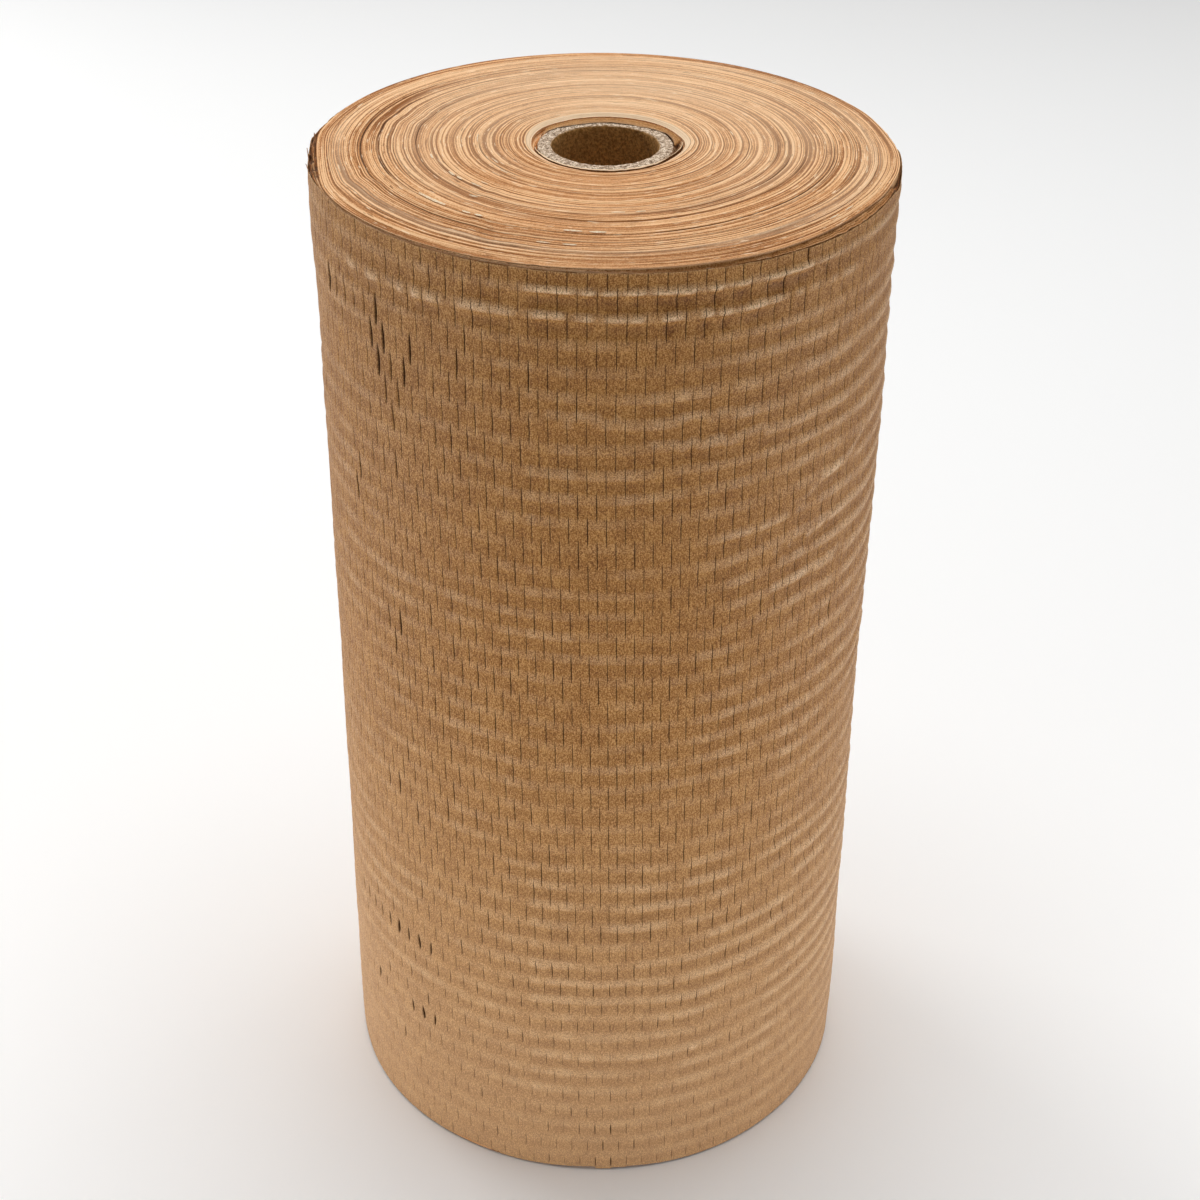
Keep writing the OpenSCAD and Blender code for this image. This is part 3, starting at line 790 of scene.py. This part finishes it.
def top_rim():
    """The last few turns at the top: they have slipped, so the rim goes down in thin steps."""
    NA = 1200
    deg = (np.arange(NA) + 0.5) * 360.0 / NA - 180.0
    u = deg / 360
    nil, one = np.zeros(NA), np.ones(NA)
    da = around(DROP_A, deg)
    torn = torn_part(deg)
    rb = turn_radius(np.full(NA, 102.75), deg)
    tt = np.full(NA, 102.75)
    zb = WEB + dome(np.clip(rb, 24, 102.6)) * smooth(103.6, 101.0, tt)
    jag = 0.10 * noise2(u, nil, 140, 1, 71) + 0.10 * noise2(u, nil, 400, 1, 72)
    big = 0.9 * noise2(u, nil, 110, 1, 73) + 0.45 * noise2(u, nil, 330, 1, 74)
    za = WEB - da + jag + torn * big
    sc = deg * DEG * R_MEAN / PITCH - lean(399.0)
    odd = np.round(sc) % 2 != 0
    tick = gauss((sc - np.round(sc)) * PITCH, 0.30) * odd
    width = np.maximum(103.50 - rb - 0.14, 0.12) + 0.9 * np.clip(around(PEEL, deg), 0, 1)
    slack = smooth(0.60, 0.95, da) * (1 - torn)
    line = gauss(wrap_deg(deg + 62), 15) * np.clip(0.65 + 1.0 * noise2(u, nil, 240, 1, 85), 0, 1)

    def rip(seed):
        return torn * np.clip(0.45 + 1.1 * noise2(u, nil, 260, 1, seed) + 0.6 * noise2(u, nil, 90, 1, seed + 7), 0, 1)

    # darker ragged dashes along the slack turns
    slack_dashes = slack * np.clip(0.45 + 1.2 * noise2(u, nil, 200, 1, 87) + 0.5 * noise2(u, nil, 60, 1, 88), 0, 1)
    rows = []

    def ring(r, z, turn, dk, ti, sd):
        rows.append([nil + a for a in (r, z, turn, dk, ti, sd)])

    red = -1.0 * torn
    # groove on these rings: painted shade on the faces that go down from each slipped turn to the next and behind the
    # rim, with darker marks at the slit nicks and along the torn and slack turns
    ring(rb - 0.02, zb + 0.01, 102.75, 0, 0.05 + 0.2 * (1 - torn), 0)
    ring(rb + 0.05, zb - 0.05 + 0.3 * jag, 102.8, 0, 0.40 * (1 - torn) + red * 0.4, 0)
    ring(rb + 0.07, np.minimum(zb - 0.14, za + 0.12), 102.9, 0.15 * tick + 0.75 * line + 0.8 * rip(121), red, 1 - 0.6 * torn)
    ring(rb + 0.12, np.minimum(zb - 0.16, za + 0.02 - 0.25 * tick), 103.0, 0.40 + 0.45 * tick + 0.5 * line + 0.5 * rip(122), red, 1 - 0.7 * torn)
    ring(rb + 0.15, za + 0.05 - 0.25 * tick, 103.2, 0.08 + 0.9 * rip(123) + 0.40 * slack_dashes, 0.30 * (1 - torn) + red - 0.45 * slack, 0.4 * slack)
    z1 = za - 0.02 + (0.07 + 0.16 * slack) * noise2(u, nil, 260, 1, 76) + 0.4 * torn * noise2(u, nil, 170, 1, 77)
    ring(rb + 0.15 + 0.28 * width, z1, 103.6, 0.8 * rip(124) + 0.60 * slack_dashes, 0.10 + red - 0.3 * slack, 0.65 * slack)
    ring(rb + 0.17 + 0.30 * width, z1 - 0.26, 103.7, 0.55 - 0.3 * slack + 0.4 * rip(125), red, 0.3 + 0.5 * slack)
    z2 = z1 - 0.24 + (0.08 + 0.18 * slack) * noise2(u, nil, 310, 1, 78) + 0.5 * torn * noise2(u, nil, 130, 1, 79)
    ring(rb + 0.18 + 0.32 * width, z2, 104.0, 0.05 + 0.6 * rip(126), 0.45 * (1 - torn) + red - 0.4 * slack, 0.5 * slack)
    ring(rb + 0.15 + 0.62 * width, z2 - 0.02, 104.4, 0.10 + 0.8 * rip(127) + 0.55 * slack_dashes[::-1] * slack, 0.15 + red - 0.5 * slack, 0.65 * slack)
    ring(rb + 0.17 + 0.65 * width, z2 - 0.28, 104.6, 0.60 - 0.3 * slack, red, 0.3 + 0.5 * slack)
    ring(rb + 0.18 + 0.67 * width, z2 - 0.26 + 0.3 * torn * noise2(u, nil, 210, 1, 80), 105.0, 0.10 + 0.7 * rip(128), 0.30 * (1 - torn) + red - 0.3 * slack, 0.6 * slack)
    ring(rb + 0.14 + 0.98 * width, z2 - 0.30, 105.3, 0.25, red, 0)
    ring(rb + 0.14 + width, z2 - 0.75, 105.5, 0.80 - 0.3 * slack, red, 0.6)
    ring(rb + 0.14 + width, WEB - 9.5, 106.0, 1.0, red, 1.0)
    arr = [np.array([r[k] for r in rows]) for k in range(6)]
    R, Z, T, dk, ti, sd = arr
    nr = len(R)
    D = np.repeat(deg[None], nr, 0)
    P = cyl(D, R, Z).reshape(-1, 3)
    q = grid_quads(nr, NA, closed=True)[:, ::-1]
    o = build("top_rim", P, q, {"turn": T, "groove": np.clip(dk, 0, 1), "tint": ti, "side": np.clip(sd, 0, 1)}, closed_uv(q, nr, NA), smooth_faces=False)
    o.data.materials.append(end_material("rim_edges", 0.97))
    return o


def bottom_end():
    NA = 240
    deg = (np.arange(NA) + 0.5) * 360.0 / NA - 180.0
    main = np.concatenate([np.linspace(24.6, 102.4, 92), [103.0, 103.3, 103.45]])
    T = np.repeat(main[:, None], NA, 1)
    D = np.repeat(deg[None, :], len(main), 0)
    R = T + 0.5 * around(WOBBLE, D) * smooth(30, 60, T) * smooth(103, 96, T)
    dish = np.maximum(0.0, dome(R) - 0.72 * CREEP) * 1.0
    h, dark, pale = end_profile(T, D, 80)
    Z = dish + 0.14 - np.clip(h, -0.5, 0.12) * 0.8
    Z = np.maximum(Z, 0.0)
    sx = wrap_deg(D) * DEG * R_MEAN
    raised = 1.2 * gauss(sx - 2.0, 20.0) * (1 - smooth(3.6, 2.9, np.abs(sx - 3.9))) * smooth(100.8, 102.0, R)
    Z = Z + raised
    Z[-1] += 1.6
    Z[-2] += 0.15
    tint = 0.8 * pale - 0.18 + 0.14 * noise2(D / 360, (T - 20) / 90, 9, 15, 79)
    P = cyl(D, R, Z).reshape(-1, 3)
    nr = len(main)
    q = grid_quads(nr, NA, closed=True)
    o = build("bottom_end", P, q, {"turn": T, "groove": dark, "tint": tint, "side": 0 * T}, closed_uv(q, nr, NA))
    o.data.materials.append(end_material("turn_edges_below", 0.92))
    return o


def closed_uv(q, nr, NA):
    vv = np.linspace(0.01, 0.99, nr)
    j = np.arange(NA)
    base = np.stack([np.repeat((j / NA)[None], nr, 0), np.repeat(vv[:, None], NA, 1)], -1).reshape(-1, 2)
    uv = base[q].copy()
    last = (q % NA == 0) & ((q % NA).max(1) == NA - 1)[:, None]
    uv[..., 0] = np.where(last, 1.0, uv[..., 0])
    uv[..., 0] = uv[..., 0] * 0.98 + 0.01
    return uv


def mouth_wall():
    """The loose inner turns: the wall of the opening round the core, and the free turn that leans on the core."""
    NA = 420
    deg = (np.arange(NA) + 0.5) * 360.0 / NA - 180.0
    u = deg / 360
    r_top = around(MOUTH, deg) + 0.16 * noise2(u, 0 * u, 17, 1, 57) + 0.10 * noise2(u, 0 * u, 44, 1, 58)
    z_top = WEB + dome(r_top) - lip_drop(np.full(NA, 26.0), deg)
    rows = []
    for k, dz in enumerate([-0.05, 0.12, 0.3, 0.55, 0.8, 1.1, 1.4, 1.8, 2.2, 2.7, 3.3, 4.0, 5.0, 6.0, 7.2, 8.6]):
        f = float(smooth(0.2, 5.2, dz))
        r = r_top * (1 - f) + 24.12 * f + 0.03
        step = 0.13 * noise2(u, np.full(NA, dz / 9), 9, 14, 91) + 0.07 * noise2(u, np.full(NA, dz / 9), 40, 24, 92)
        r = r + step * (0.0 if k == 0 else 1.0) * (1 - f) - 0.06 * min(dz, 2.2)
        rows.append((np.maximum(r, 24.1), z_top - dz))
    R = np.array([r for r, z in rows])
    Z = np.array([z for r, z in rows])
    nr = len(rows)
    D = np.repeat(deg[None], nr, 0)
    P = cyl(D, R, Z).reshape(-1, 3)
    q = grid_quads(nr, NA, closed=True)[:, ::-1]
    deep = z_top[None] - Z
    T = 20 + 1.3 * deep
    # tint: paler at the top edge of the wall, and paler round 104 deg as painted light on the wall there; groove:
    # painted shade deeper down the opening
    o = build(
        "inner_turns",
        P,
        q,
        {"turn": T, "groove": 0.9 * smooth(4.6, 7.6, deep), "tint": 0.55 * smooth(0.4, 0.0, deep) - 0.10 * smooth(0.1, 0.6, deep) + 0.45 * gauss(wrap_deg(D - 104), 16), "side": 0.0 * deep},
        closed_uv(q, nr, NA),
    )
    # shade 1.40 brightens this palette: painted light on walls the lamps hardly reach
    o.data.materials.append(end_material("inner_turn_faces", 1.40))
    # the free innermost turns: close to the core in front, away from it at the right
    d2 = np.linspace(-84, 104, 240)
    rin = around([(-180, 25.0), (-84, 24.7), (-62, 24.35), (-30, 24.2), (0, 24.2), (30, 24.25), (48, 24.6), (62, 25.2), (76, 26.2), (88, 27.0), (95, 27.15), (102, 26.9), (112, 26.5), (124, 26.2)], d2)
    rin = rin + 0.05 * noise2(d2 / 360, 0 * d2, 60, 1, 95)
    thick = 0.30 + 0.95 * smooth(-80, -45, d2) * smooth(64, 34, d2)
    thick = thick * (1 + 0.12 * noise2(d2 / 360, 0 * d2, 70, 1, 96))
    room = around(MOUTH, d2) - rin - 0.80
    thick = np.maximum(np.minimum(thick, room), 0.10)
    ends = smooth(-84, -66, d2) * smooth(104, 92, d2)
    zt = WEB + 1.78 + 0.60 * smooth(40, 85, d2) - 0.4 * (1 - ends) - 1.0 * smooth(90, 103, d2) + 0.07 * noise2(d2 / 360, 0 * d2, 90, 1, 97) + 0.05 * noise2(d2 / 360, 0 * d2, 240, 1, 98)
    open_in = smooth(58, 84, d2)
    prof = [(np.maximum(rin - 2.9 * open_in, 24.05), zt - 7), (np.maximum(rin - 2.1 * open_in, 24.1), zt - 3.4), (rin - 0.1 * open_in, zt - 0.3), (rin + 0.01, zt - 0.06), (rin + 0.05, zt), (rin + 0.5 * thick, zt + 0.03), (rin + thick - 0.04, zt), (rin + thick, zt - 0.08), (rin + thick, zt - 7)]
    R = np.array([r for r, z in prof])
    Z = np.array([z + 0 * d2 for r, z in prof])
    D = np.repeat(d2[None], len(prof), 0)
    P = cyl(D, R, Z).reshape(-1, 3)
    q = grid_quads(len(prof), len(d2))[:, ::-1]
    nr, nc = len(prof), len(d2)
    base = np.stack([np.repeat(np.linspace(0.01, 0.99, nc)[None], nr, 0), np.repeat(np.linspace(0.01, 0.99, nr)[:, None], nc, 1)], -1).reshape(-1, 2)
    side = np.repeat(np.array([1, 0.8, 0.7, 0.2, 0, 0, 0, 0.6, 1.0])[:, None], nc, 1)
    # dark: painted shade on the faces that go down into the gaps on each side of the free turn
    dark = np.repeat(np.array([0.9, 0.06, 0.04, 0, 0, 0, 0, 0.95, 1.0])[:, None], nc, 1)
    o2 = build("free_inner_turn", P, q, {"turn": 10 + 3 * R, "groove": dark, "tint": 0.95 * (1 - side), "side": side * 0.3}, base[q])
    o2.data.materials.append(end_material("free_turn_edge", 1.12))
    # at the back a loose inner turn has folded in over the end of the core
    d3 = np.linspace(90, 250, 190)
    over = smooth(112, 150, d3) * smooth(246, 206, d3)
    open_out = 0.04 + 0.96 * smooth(90, 104, d3) * smooth(250, 228, d3)
    r_in = 24.25 - 2.8 * over + 0.10 * over * noise2(d3 / 360, 0 * d3, 40, 1, 111) + 0.05 * noise2(d3 / 360, 0 * d3, 130, 1, 112)
    r_out = r_in + (around(MOUTH, d3) - 0.30 - r_in) * open_out
    z_in = WEB + 1.72 + 0.05 * noise2(d3 / 360, 0 * d3, 60, 1, 113)
    z_out = z_in + (WEB + dome(r_out) - 1.25 - z_in) * open_out
    z_mid = 0.5 * (z_in + z_out) - 0.05
    prof = [(r_in, z_in - 0.11), (r_in, z_in), (0.65 * r_in + 0.35 * r_out, 0.5 * (z_in + z_mid) - 0.02), (0.3 * r_in + 0.7 * r_out, z_mid), (r_out, z_out), (r_out + 0.05, z_out - 0.8)]
    R = np.array([r for r, z in prof])
    Z = np.array([z for r, z in prof])
    nr, nc = len(prof), len(d3)
    P = cyl(np.repeat(d3[None], nr, 0), R, Z).reshape(-1, 3)
    q = grid_quads(nr, nc)[:, ::-1]
    base = np.stack([np.repeat(np.linspace(0.01, 0.99, nc)[None], nr, 0), np.repeat(np.linspace(0.01, 0.99, nr)[:, None], nc, 1)], -1).reshape(-1, 2)
    side = np.repeat(np.array([0.2, 0.2, 0.75, 0.8, 0.8, 0.8])[:, None], nc, 1)
    tint = np.repeat(np.array([0.2, 0.3, 0.0, 0.0, 0.0, 0.0])[:, None], nc, 1)
    o3 = build("folded_inner_turn", P, q, {"turn": 10 + 3 * R, "groove": 0 * R, "tint": tint, "side": side}, base[q])
    o3.data.materials.append(end_material("folded_turn_face", 1.05))
    return [o, o2, o3]


def core():
    NA = 256
    deg = (np.arange(NA) + 0.5) * 360.0 / NA - 180.0
    z0, z1 = CORE_RISE, WEB + CORE_RISE
    prof = []      # (r, z, inside), from the outside bottom, up, across the end and down the bore
    for z in (z0 + 0.5, 60, 200, 340, 392, 398, z1 - 0.45):
        prof.append((R_CORE, z, 0.0))
    prof.append((R_CORE - 0.12, z1 - 0.1, 0.0))
    for r in np.linspace(R_CORE - 0.4, R_BORE + 0.45, 12):
        prof.append((r, z1, 0.0))
    prof.append((R_BORE + 0.14, z1 - 0.12, 0.5))
    for z in np.concatenate([z1 - 0.5 - np.linspace(0, 60, 34) ** 1.0, np.linspace(z1 - 70, z0 + 8, 24), [z0 + 0.5]]):
        prof.append((R_BORE, z, 1.0))
    prof.append((R_BORE + 0.14, z0 + 0.1, 0.5))
    for r in np.linspace(R_BORE + 0.45, R_CORE - 0.4, 7):
        prof.append((r, z0, 0.0))
    prof.append((R_CORE - 0.12, z0 + 0.1, 0.0))
    prof.append((R_CORE, z0 + 0.5, 0.0))
    pr = np.array(prof)
    nr = len(pr)
    R = np.repeat(pr[:, 0:1], NA, 1)
    Z = np.repeat(pr[:, 1:2], NA, 1)
    I = np.repeat(pr[:, 2:3], NA, 1)
    D = np.repeat(deg[None], nr, 0)
    u = D / 360
    end = (np.abs(Z - z1) < 0.6) | (np.abs(Z - z0) < 0.6)
    fz = 0.10 * noise2(u, R / 30, 130, 60, 101) + 0.10 * noise2(u, R / 30, 60, 30, 102)
    sgn = np.where(Z > 200, 1.0, -1.0)
    Z = Z + np.where(end, fz * sgn, 0.0)
    fr = 0.09 * noise2(u, 0 * u, 120, 1, 103) + 0.06 * noise2(u, 0 * u, 50, 1, 104)
    R = R + np.where(end & (np.abs(R - R_BORE) < 0.3), fr, 0.0) + np.where(end & (np.abs(R - R_CORE) < 0.3), -np.abs(fr), 0.0)
    # spiral joint of the inner ply
    lead = 118.0
    hel = ((Z - D / 360 * lead) % lead)
    near = np.minimum(hel, lead - hel)
    seam = gauss(near, 0.9) * (I > 0.9)
    R = R + 0.12 * seam * smooth(z1 - 0.6, z1 - 3, Z) * smooth(z0 + 0.6, z0 + 3, Z)
    P = cyl(D, R, Z).reshape(-1, 3)
    q = grid_quads(nr, NA, closed=True)
    o = build("core", P, q, {"inside": I, "seam": seam}, closed_uv(q, nr, NA))
    o.data.materials.append(core_material())
    return o


def ribbon(path, width_dir, widths, thick_dir, thick):
    """A thin curved flake: a closed strip along path, as wide as widths say."""
    path, width_dir, thick_dir = (np.asarray(a, float) for a in (path, width_dir, thick_dir))
    n = len(path)
    w = np.asarray(widths, float)[:, None]
    if width_dir.ndim == 1:
        width_dir = np.repeat(width_dir[None], n, 0)
    if thick_dir.ndim == 1:
        thick_dir = np.repeat(thick_dir[None], n, 0)
    a = path - width_dir * w / 2 - thick_dir * thick / 2
    b = path + width_dir * w / 2 - thick_dir * thick / 2
    c = path + width_dir * w / 2 + thick_dir * thick / 2
    d = path - width_dir * w / 2 + thick_dir * thick / 2
    co = np.stack([a, b, c, d], 1).reshape(-1, 3)
    quads = []
    for i in range(n - 1):
        for k in range(4):
            k1 = (k + 1) % 4
            quads.append([i * 4 + k, i * 4 + k1, (i + 1) * 4 + k1, (i + 1) * 4 + k])
    quads.append([0, 3, 2, 1])
    e = (n - 1) * 4
    quads.append([e, e + 1, e + 2, e + 3])
    return co, np.array(quads)


def flakes():
    """Torn bits: pale slivers that stand up from the turn edges, and frayed slivers at the left of the rim."""
    co, quads, tone = [], [], []

    def add(c, q, t):
        base = sum(len(x) for x in co)
        co.append(c)
        quads.append(q + base)
        tone.append(np.full(len(c), t))

    rng = np.random.default_rng(5)
    # (turn radius, from deg, to deg, height, tone)
    bits = [(79.4, 308.5, 318.5, 0.55, 1.0), (79.4, 324, 326.5, 0.5, 1.0), (79.2, 327.5, 330, 0.45, .95), (79.3, 350.5, 355, 0.5, 1.0), (79.4, 356.5, 360.5, 0.5, 1.0),
            (89.4, 346, 349, 0.35, .9), (89.3, 351.5, 354.5, 0.35, .9), (62.6, 283.5, 287.5, 0.4, .85), (61.6, 300, 304, 0.45, .9), (61.4, 305, 308, 0.4, .85),
            (60.8, 312, 317, 0.35, .8), (57.6, 313.5, 317, 0.3, .8), (45.0, 264, 274, 0.35, .75), (43.4, 295, 302, 0.3, .75), (46.2, 309, 314, 0.25, .7),
            (91.5, 81, 84, 0.35, .9), (91.6, 87, 90.5, 0.35, .9), (98.8, 49, 52, 0.3, .9), (98.8, 54.5, 57.5, 0.3, .85), (64.0, 2, 6, 0.3, .9), (64.1, 9, 12, 0.3, .85),
            (68.0, 318.5, 321.5, 0.35, .75)]
    for T, a0, a1, h, t in bits:
        n = max(5, int((a1 - a0) * 1.6))
        d = np.linspace(a0, a1, n)
        r = turn_radius(np.full(n, T), wrap_deg(d))
        z = WEB + dome(r) + 0.42
        taper = np.sin(np.linspace(0.12, np.pi - 0.12, n)) ** 0.5
        hh = 1.35 * h * taper * (0.7 + 0.6 * rng.uniform(0, 1, n))
        p = cyl(d, r, z)
        out = cyl(d, np.ones(n), np.zeros(n))
        up = np.zeros((n, 3))
        up[:, 2] = 1.0
        tilt = out * rng.uniform(1.4, 2.6) - up
        tilt /= np.linalg.norm(tilt, axis=1, keepdims=True)
        c, q = ribbon(p, tilt, hh, up, 0.10)
        add(c, q, t)
    # frayed slivers at the left of the rim: base angle, radius and height, then the tip
    frays = [((-84.3, 103.8, 397.4), (-89.2, 104.9, 399.6), 2.1, 0.10), ((-79.3, 103.9, 396.6), (-82.3, 104.8, 398.6), 2.3, 0.10),
             ((-96.0, 104.4, 398.0), (-97.2, 104.9, 399.7), 2.3, 0.12), ((-92.0, 104.0, 397.8), (-92.9, 104.3, 399.6), 1.8, 0.08),
             ((-88.0, 103.7, 397.8), (-88.7, 103.9, 399.5), 1.6, 0.08), ((-76.5, 103.8, 397.4), (-77.2, 104.1, 399.1), 1.5, 0.15)]
    for (d0, r0, z0), (d1, r1, z1), w, t in frays:
        n = 7
        f = np.linspace(0, 1, n)
        bend = f**1.6
        d = d0 + (d1 - d0) * f
        r = r0 + (r1 - r0) * bend
        z = z0 + (z1 - z0) * f
        p = cyl(d, r, z)
        tang = cyl(d + 90, np.ones(n), np.zeros(n))
        out = cyl(d, np.ones(n), np.zeros(n))
        ww = w * (1 - f) ** 0.8 + 0.08
        ww = ww * (1 + 0.25 * rng.uniform(-1, 1, n))
        c, q = ribbon(p, tang, ww, out, 0.22)
        add(c, q, t)
    o = build("torn_edges", np.concatenate(co), np.concatenate(quads), {"tone": np.concatenate(tone)}, smooth_faces=False)
    o.data.materials.append(flake_material())
    return o


# ------------------------------------------------------------------- scene
def camera():
    f_px, pitch, dist, roll, ax, ay, h = 2174.81, 0.580956, 8.40717, -0.0114294, -0.0000883, 0.0108351, 3.85007
    unit = R_MEAN * 0.001
    back = Vector((0, -math.cos(pitch), math.sin(pitch)))
    c = (Vector((0, 0, h / 2)) + back * dist) * unit
    right, fwd = Vector((1, 0, 0)), -back
    up = right.cross(fwd)
    x1 = right * math.cos(ax) - fwd * math.sin(ax)
    z1 = right * math.sin(ax) + fwd * math.cos(ax)
    y1 = up * math.cos(ay) - z1 * math.sin(ay)
    f2 = up * math.sin(ay) + z1 * math.cos(ay)
    r2 = x1 * math.cos(roll) - y1 * math.sin(roll)
    u2 = x1 * math.sin(roll) + y1 * math.cos(roll)
    data = bpy.data.cameras.new("camera")
    data.sensor_width = 36.0
    data.sensor_fit = "AUTO"
    data.lens = f_px / 1200.0 * 36.0
    data.clip_start, data.clip_end = 0.01, 50.0
    cam = bpy.data.objects.new("camera", data)
    bpy.context.scene.collection.objects.link(cam)
    cam.matrix_world = Matrix(
        (
            (r2.x, u2.x, -f2.x, c.x),
            (r2.y, u2.y, -f2.y, c.y),
            (r2.z, u2.z, -f2.z, c.z),
            (0, 0, 0, 1),
        )
    )
    bpy.context.scene.camera = cam


def area(name, loc, target, size, power, color=(1, 1, 1), size_y=None):
    data = bpy.data.lights.new(name, "AREA")
    data.energy = power
    data.color = color
    data.shape = "RECTANGLE" if size_y else "SQUARE"
    data.size = size
    if size_y:
        data.size_y = size_y
    o = bpy.data.objects.new(name, data)
    bpy.context.scene.collection.objects.link(o)
    o.location = loc
    o.rotation_mode = "QUATERNION"
    o.rotation_quaternion = (Vector(target) - Vector(loc)).to_track_quat("-Z", "Y")
    o.visible_camera = False
    return o


LIGHT = {
    "world": 0.12,
    "top": 25.0,
    "front_low": 0.64,
    "right": 2.2,
    "left_back": 14.0,
    "right_back": 3.5,
    "left_low": 1.3,
    "right_low": 1.05,
    "back_floor": 5.5,
}


def stage():
    me = bpy.data.meshes.new("floor")
    s = 6.0
    me.from_pydata([(-s, -s, -0.0005), (s, -s, -0.0005), (s, s, -0.0005), (-s, s, -0.0005)], [], [(0, 1, 2, 3)])
    floor = bpy.data.objects.new("floor", me)
    bpy.context.scene.collection.objects.link(floor)
    n = Nodes("pale_floor")
    n.finish((0.97, 0.97, 0.965, 1.0), 0.8, specular=0.2)
    me.materials.append(n.mat)
    floor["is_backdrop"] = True
    w = bpy.data.worlds.new("studio")
    w.use_nodes = True
    w.node_tree.nodes["Background"].inputs[0].default_value = (1, 1, 1, 1)
    w.node_tree.nodes["Background"].inputs[1].default_value = LIGHT["world"]
    bpy.context.scene.world = w
    area("top_light", (0.0, 0.25, 1.9), (0, 0, 0.3), 1.4, LIGHT["top"])
    area("front_low_light", (0.0, -0.56, 0.05), (0, 0, 0.03), 0.9, LIGHT["front_low"], size_y=0.09)
    area("right_light", (1.9, 0.3, 0.9), (0, 0, 0.2), 1.2, LIGHT["right"])
    area("left_back_light", (-1.5, 1.3, 0.8), (0, 0, 0.2), 1.0, LIGHT["left_back"])
    area("right_back_light", (1.5, 1.3, 0.8), (0, 0, 0.2), 1.0, LIGHT["right_back"])
    area("left_low_light", (-0.62, -0.22, 0.06), (0, 0, 0.04), 0.7, LIGHT["left_low"], size_y=0.1)
    area("right_low_light", (0.62, -0.22, 0.06), (0, 0, 0.04), 0.7, LIGHT["right_low"], size_y=0.1)
    area("back_floor_light", (0.0, 1.6, 1.5), (0, 1.25, 0), 1.2, LIGHT["back_floor"])
    bpy.context.scene.view_settings.view_transform = "Standard"


camera()
stage()

turn_panels = outer_turn()
ends = [top_end(), top_rim(), bottom_end()]
inner = mouth_wall()
bits = flakes()
core_piece = core()

for piece in [*turn_panels, *ends, *inner, bits]:
    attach(piece, "root")
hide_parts("paper_roll")
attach(core_piece, "root")
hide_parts("core_tube")

for mesh_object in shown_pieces():
    if mesh_object.type == "MESH":
        count = sum(len(p.vertices) - 2 for p in mesh_object.data.polygons) if len(mesh_object.data.polygons) < 3000 else 2 * len(mesh_object.data.polygons)
        print("piece", mesh_object.name, count)
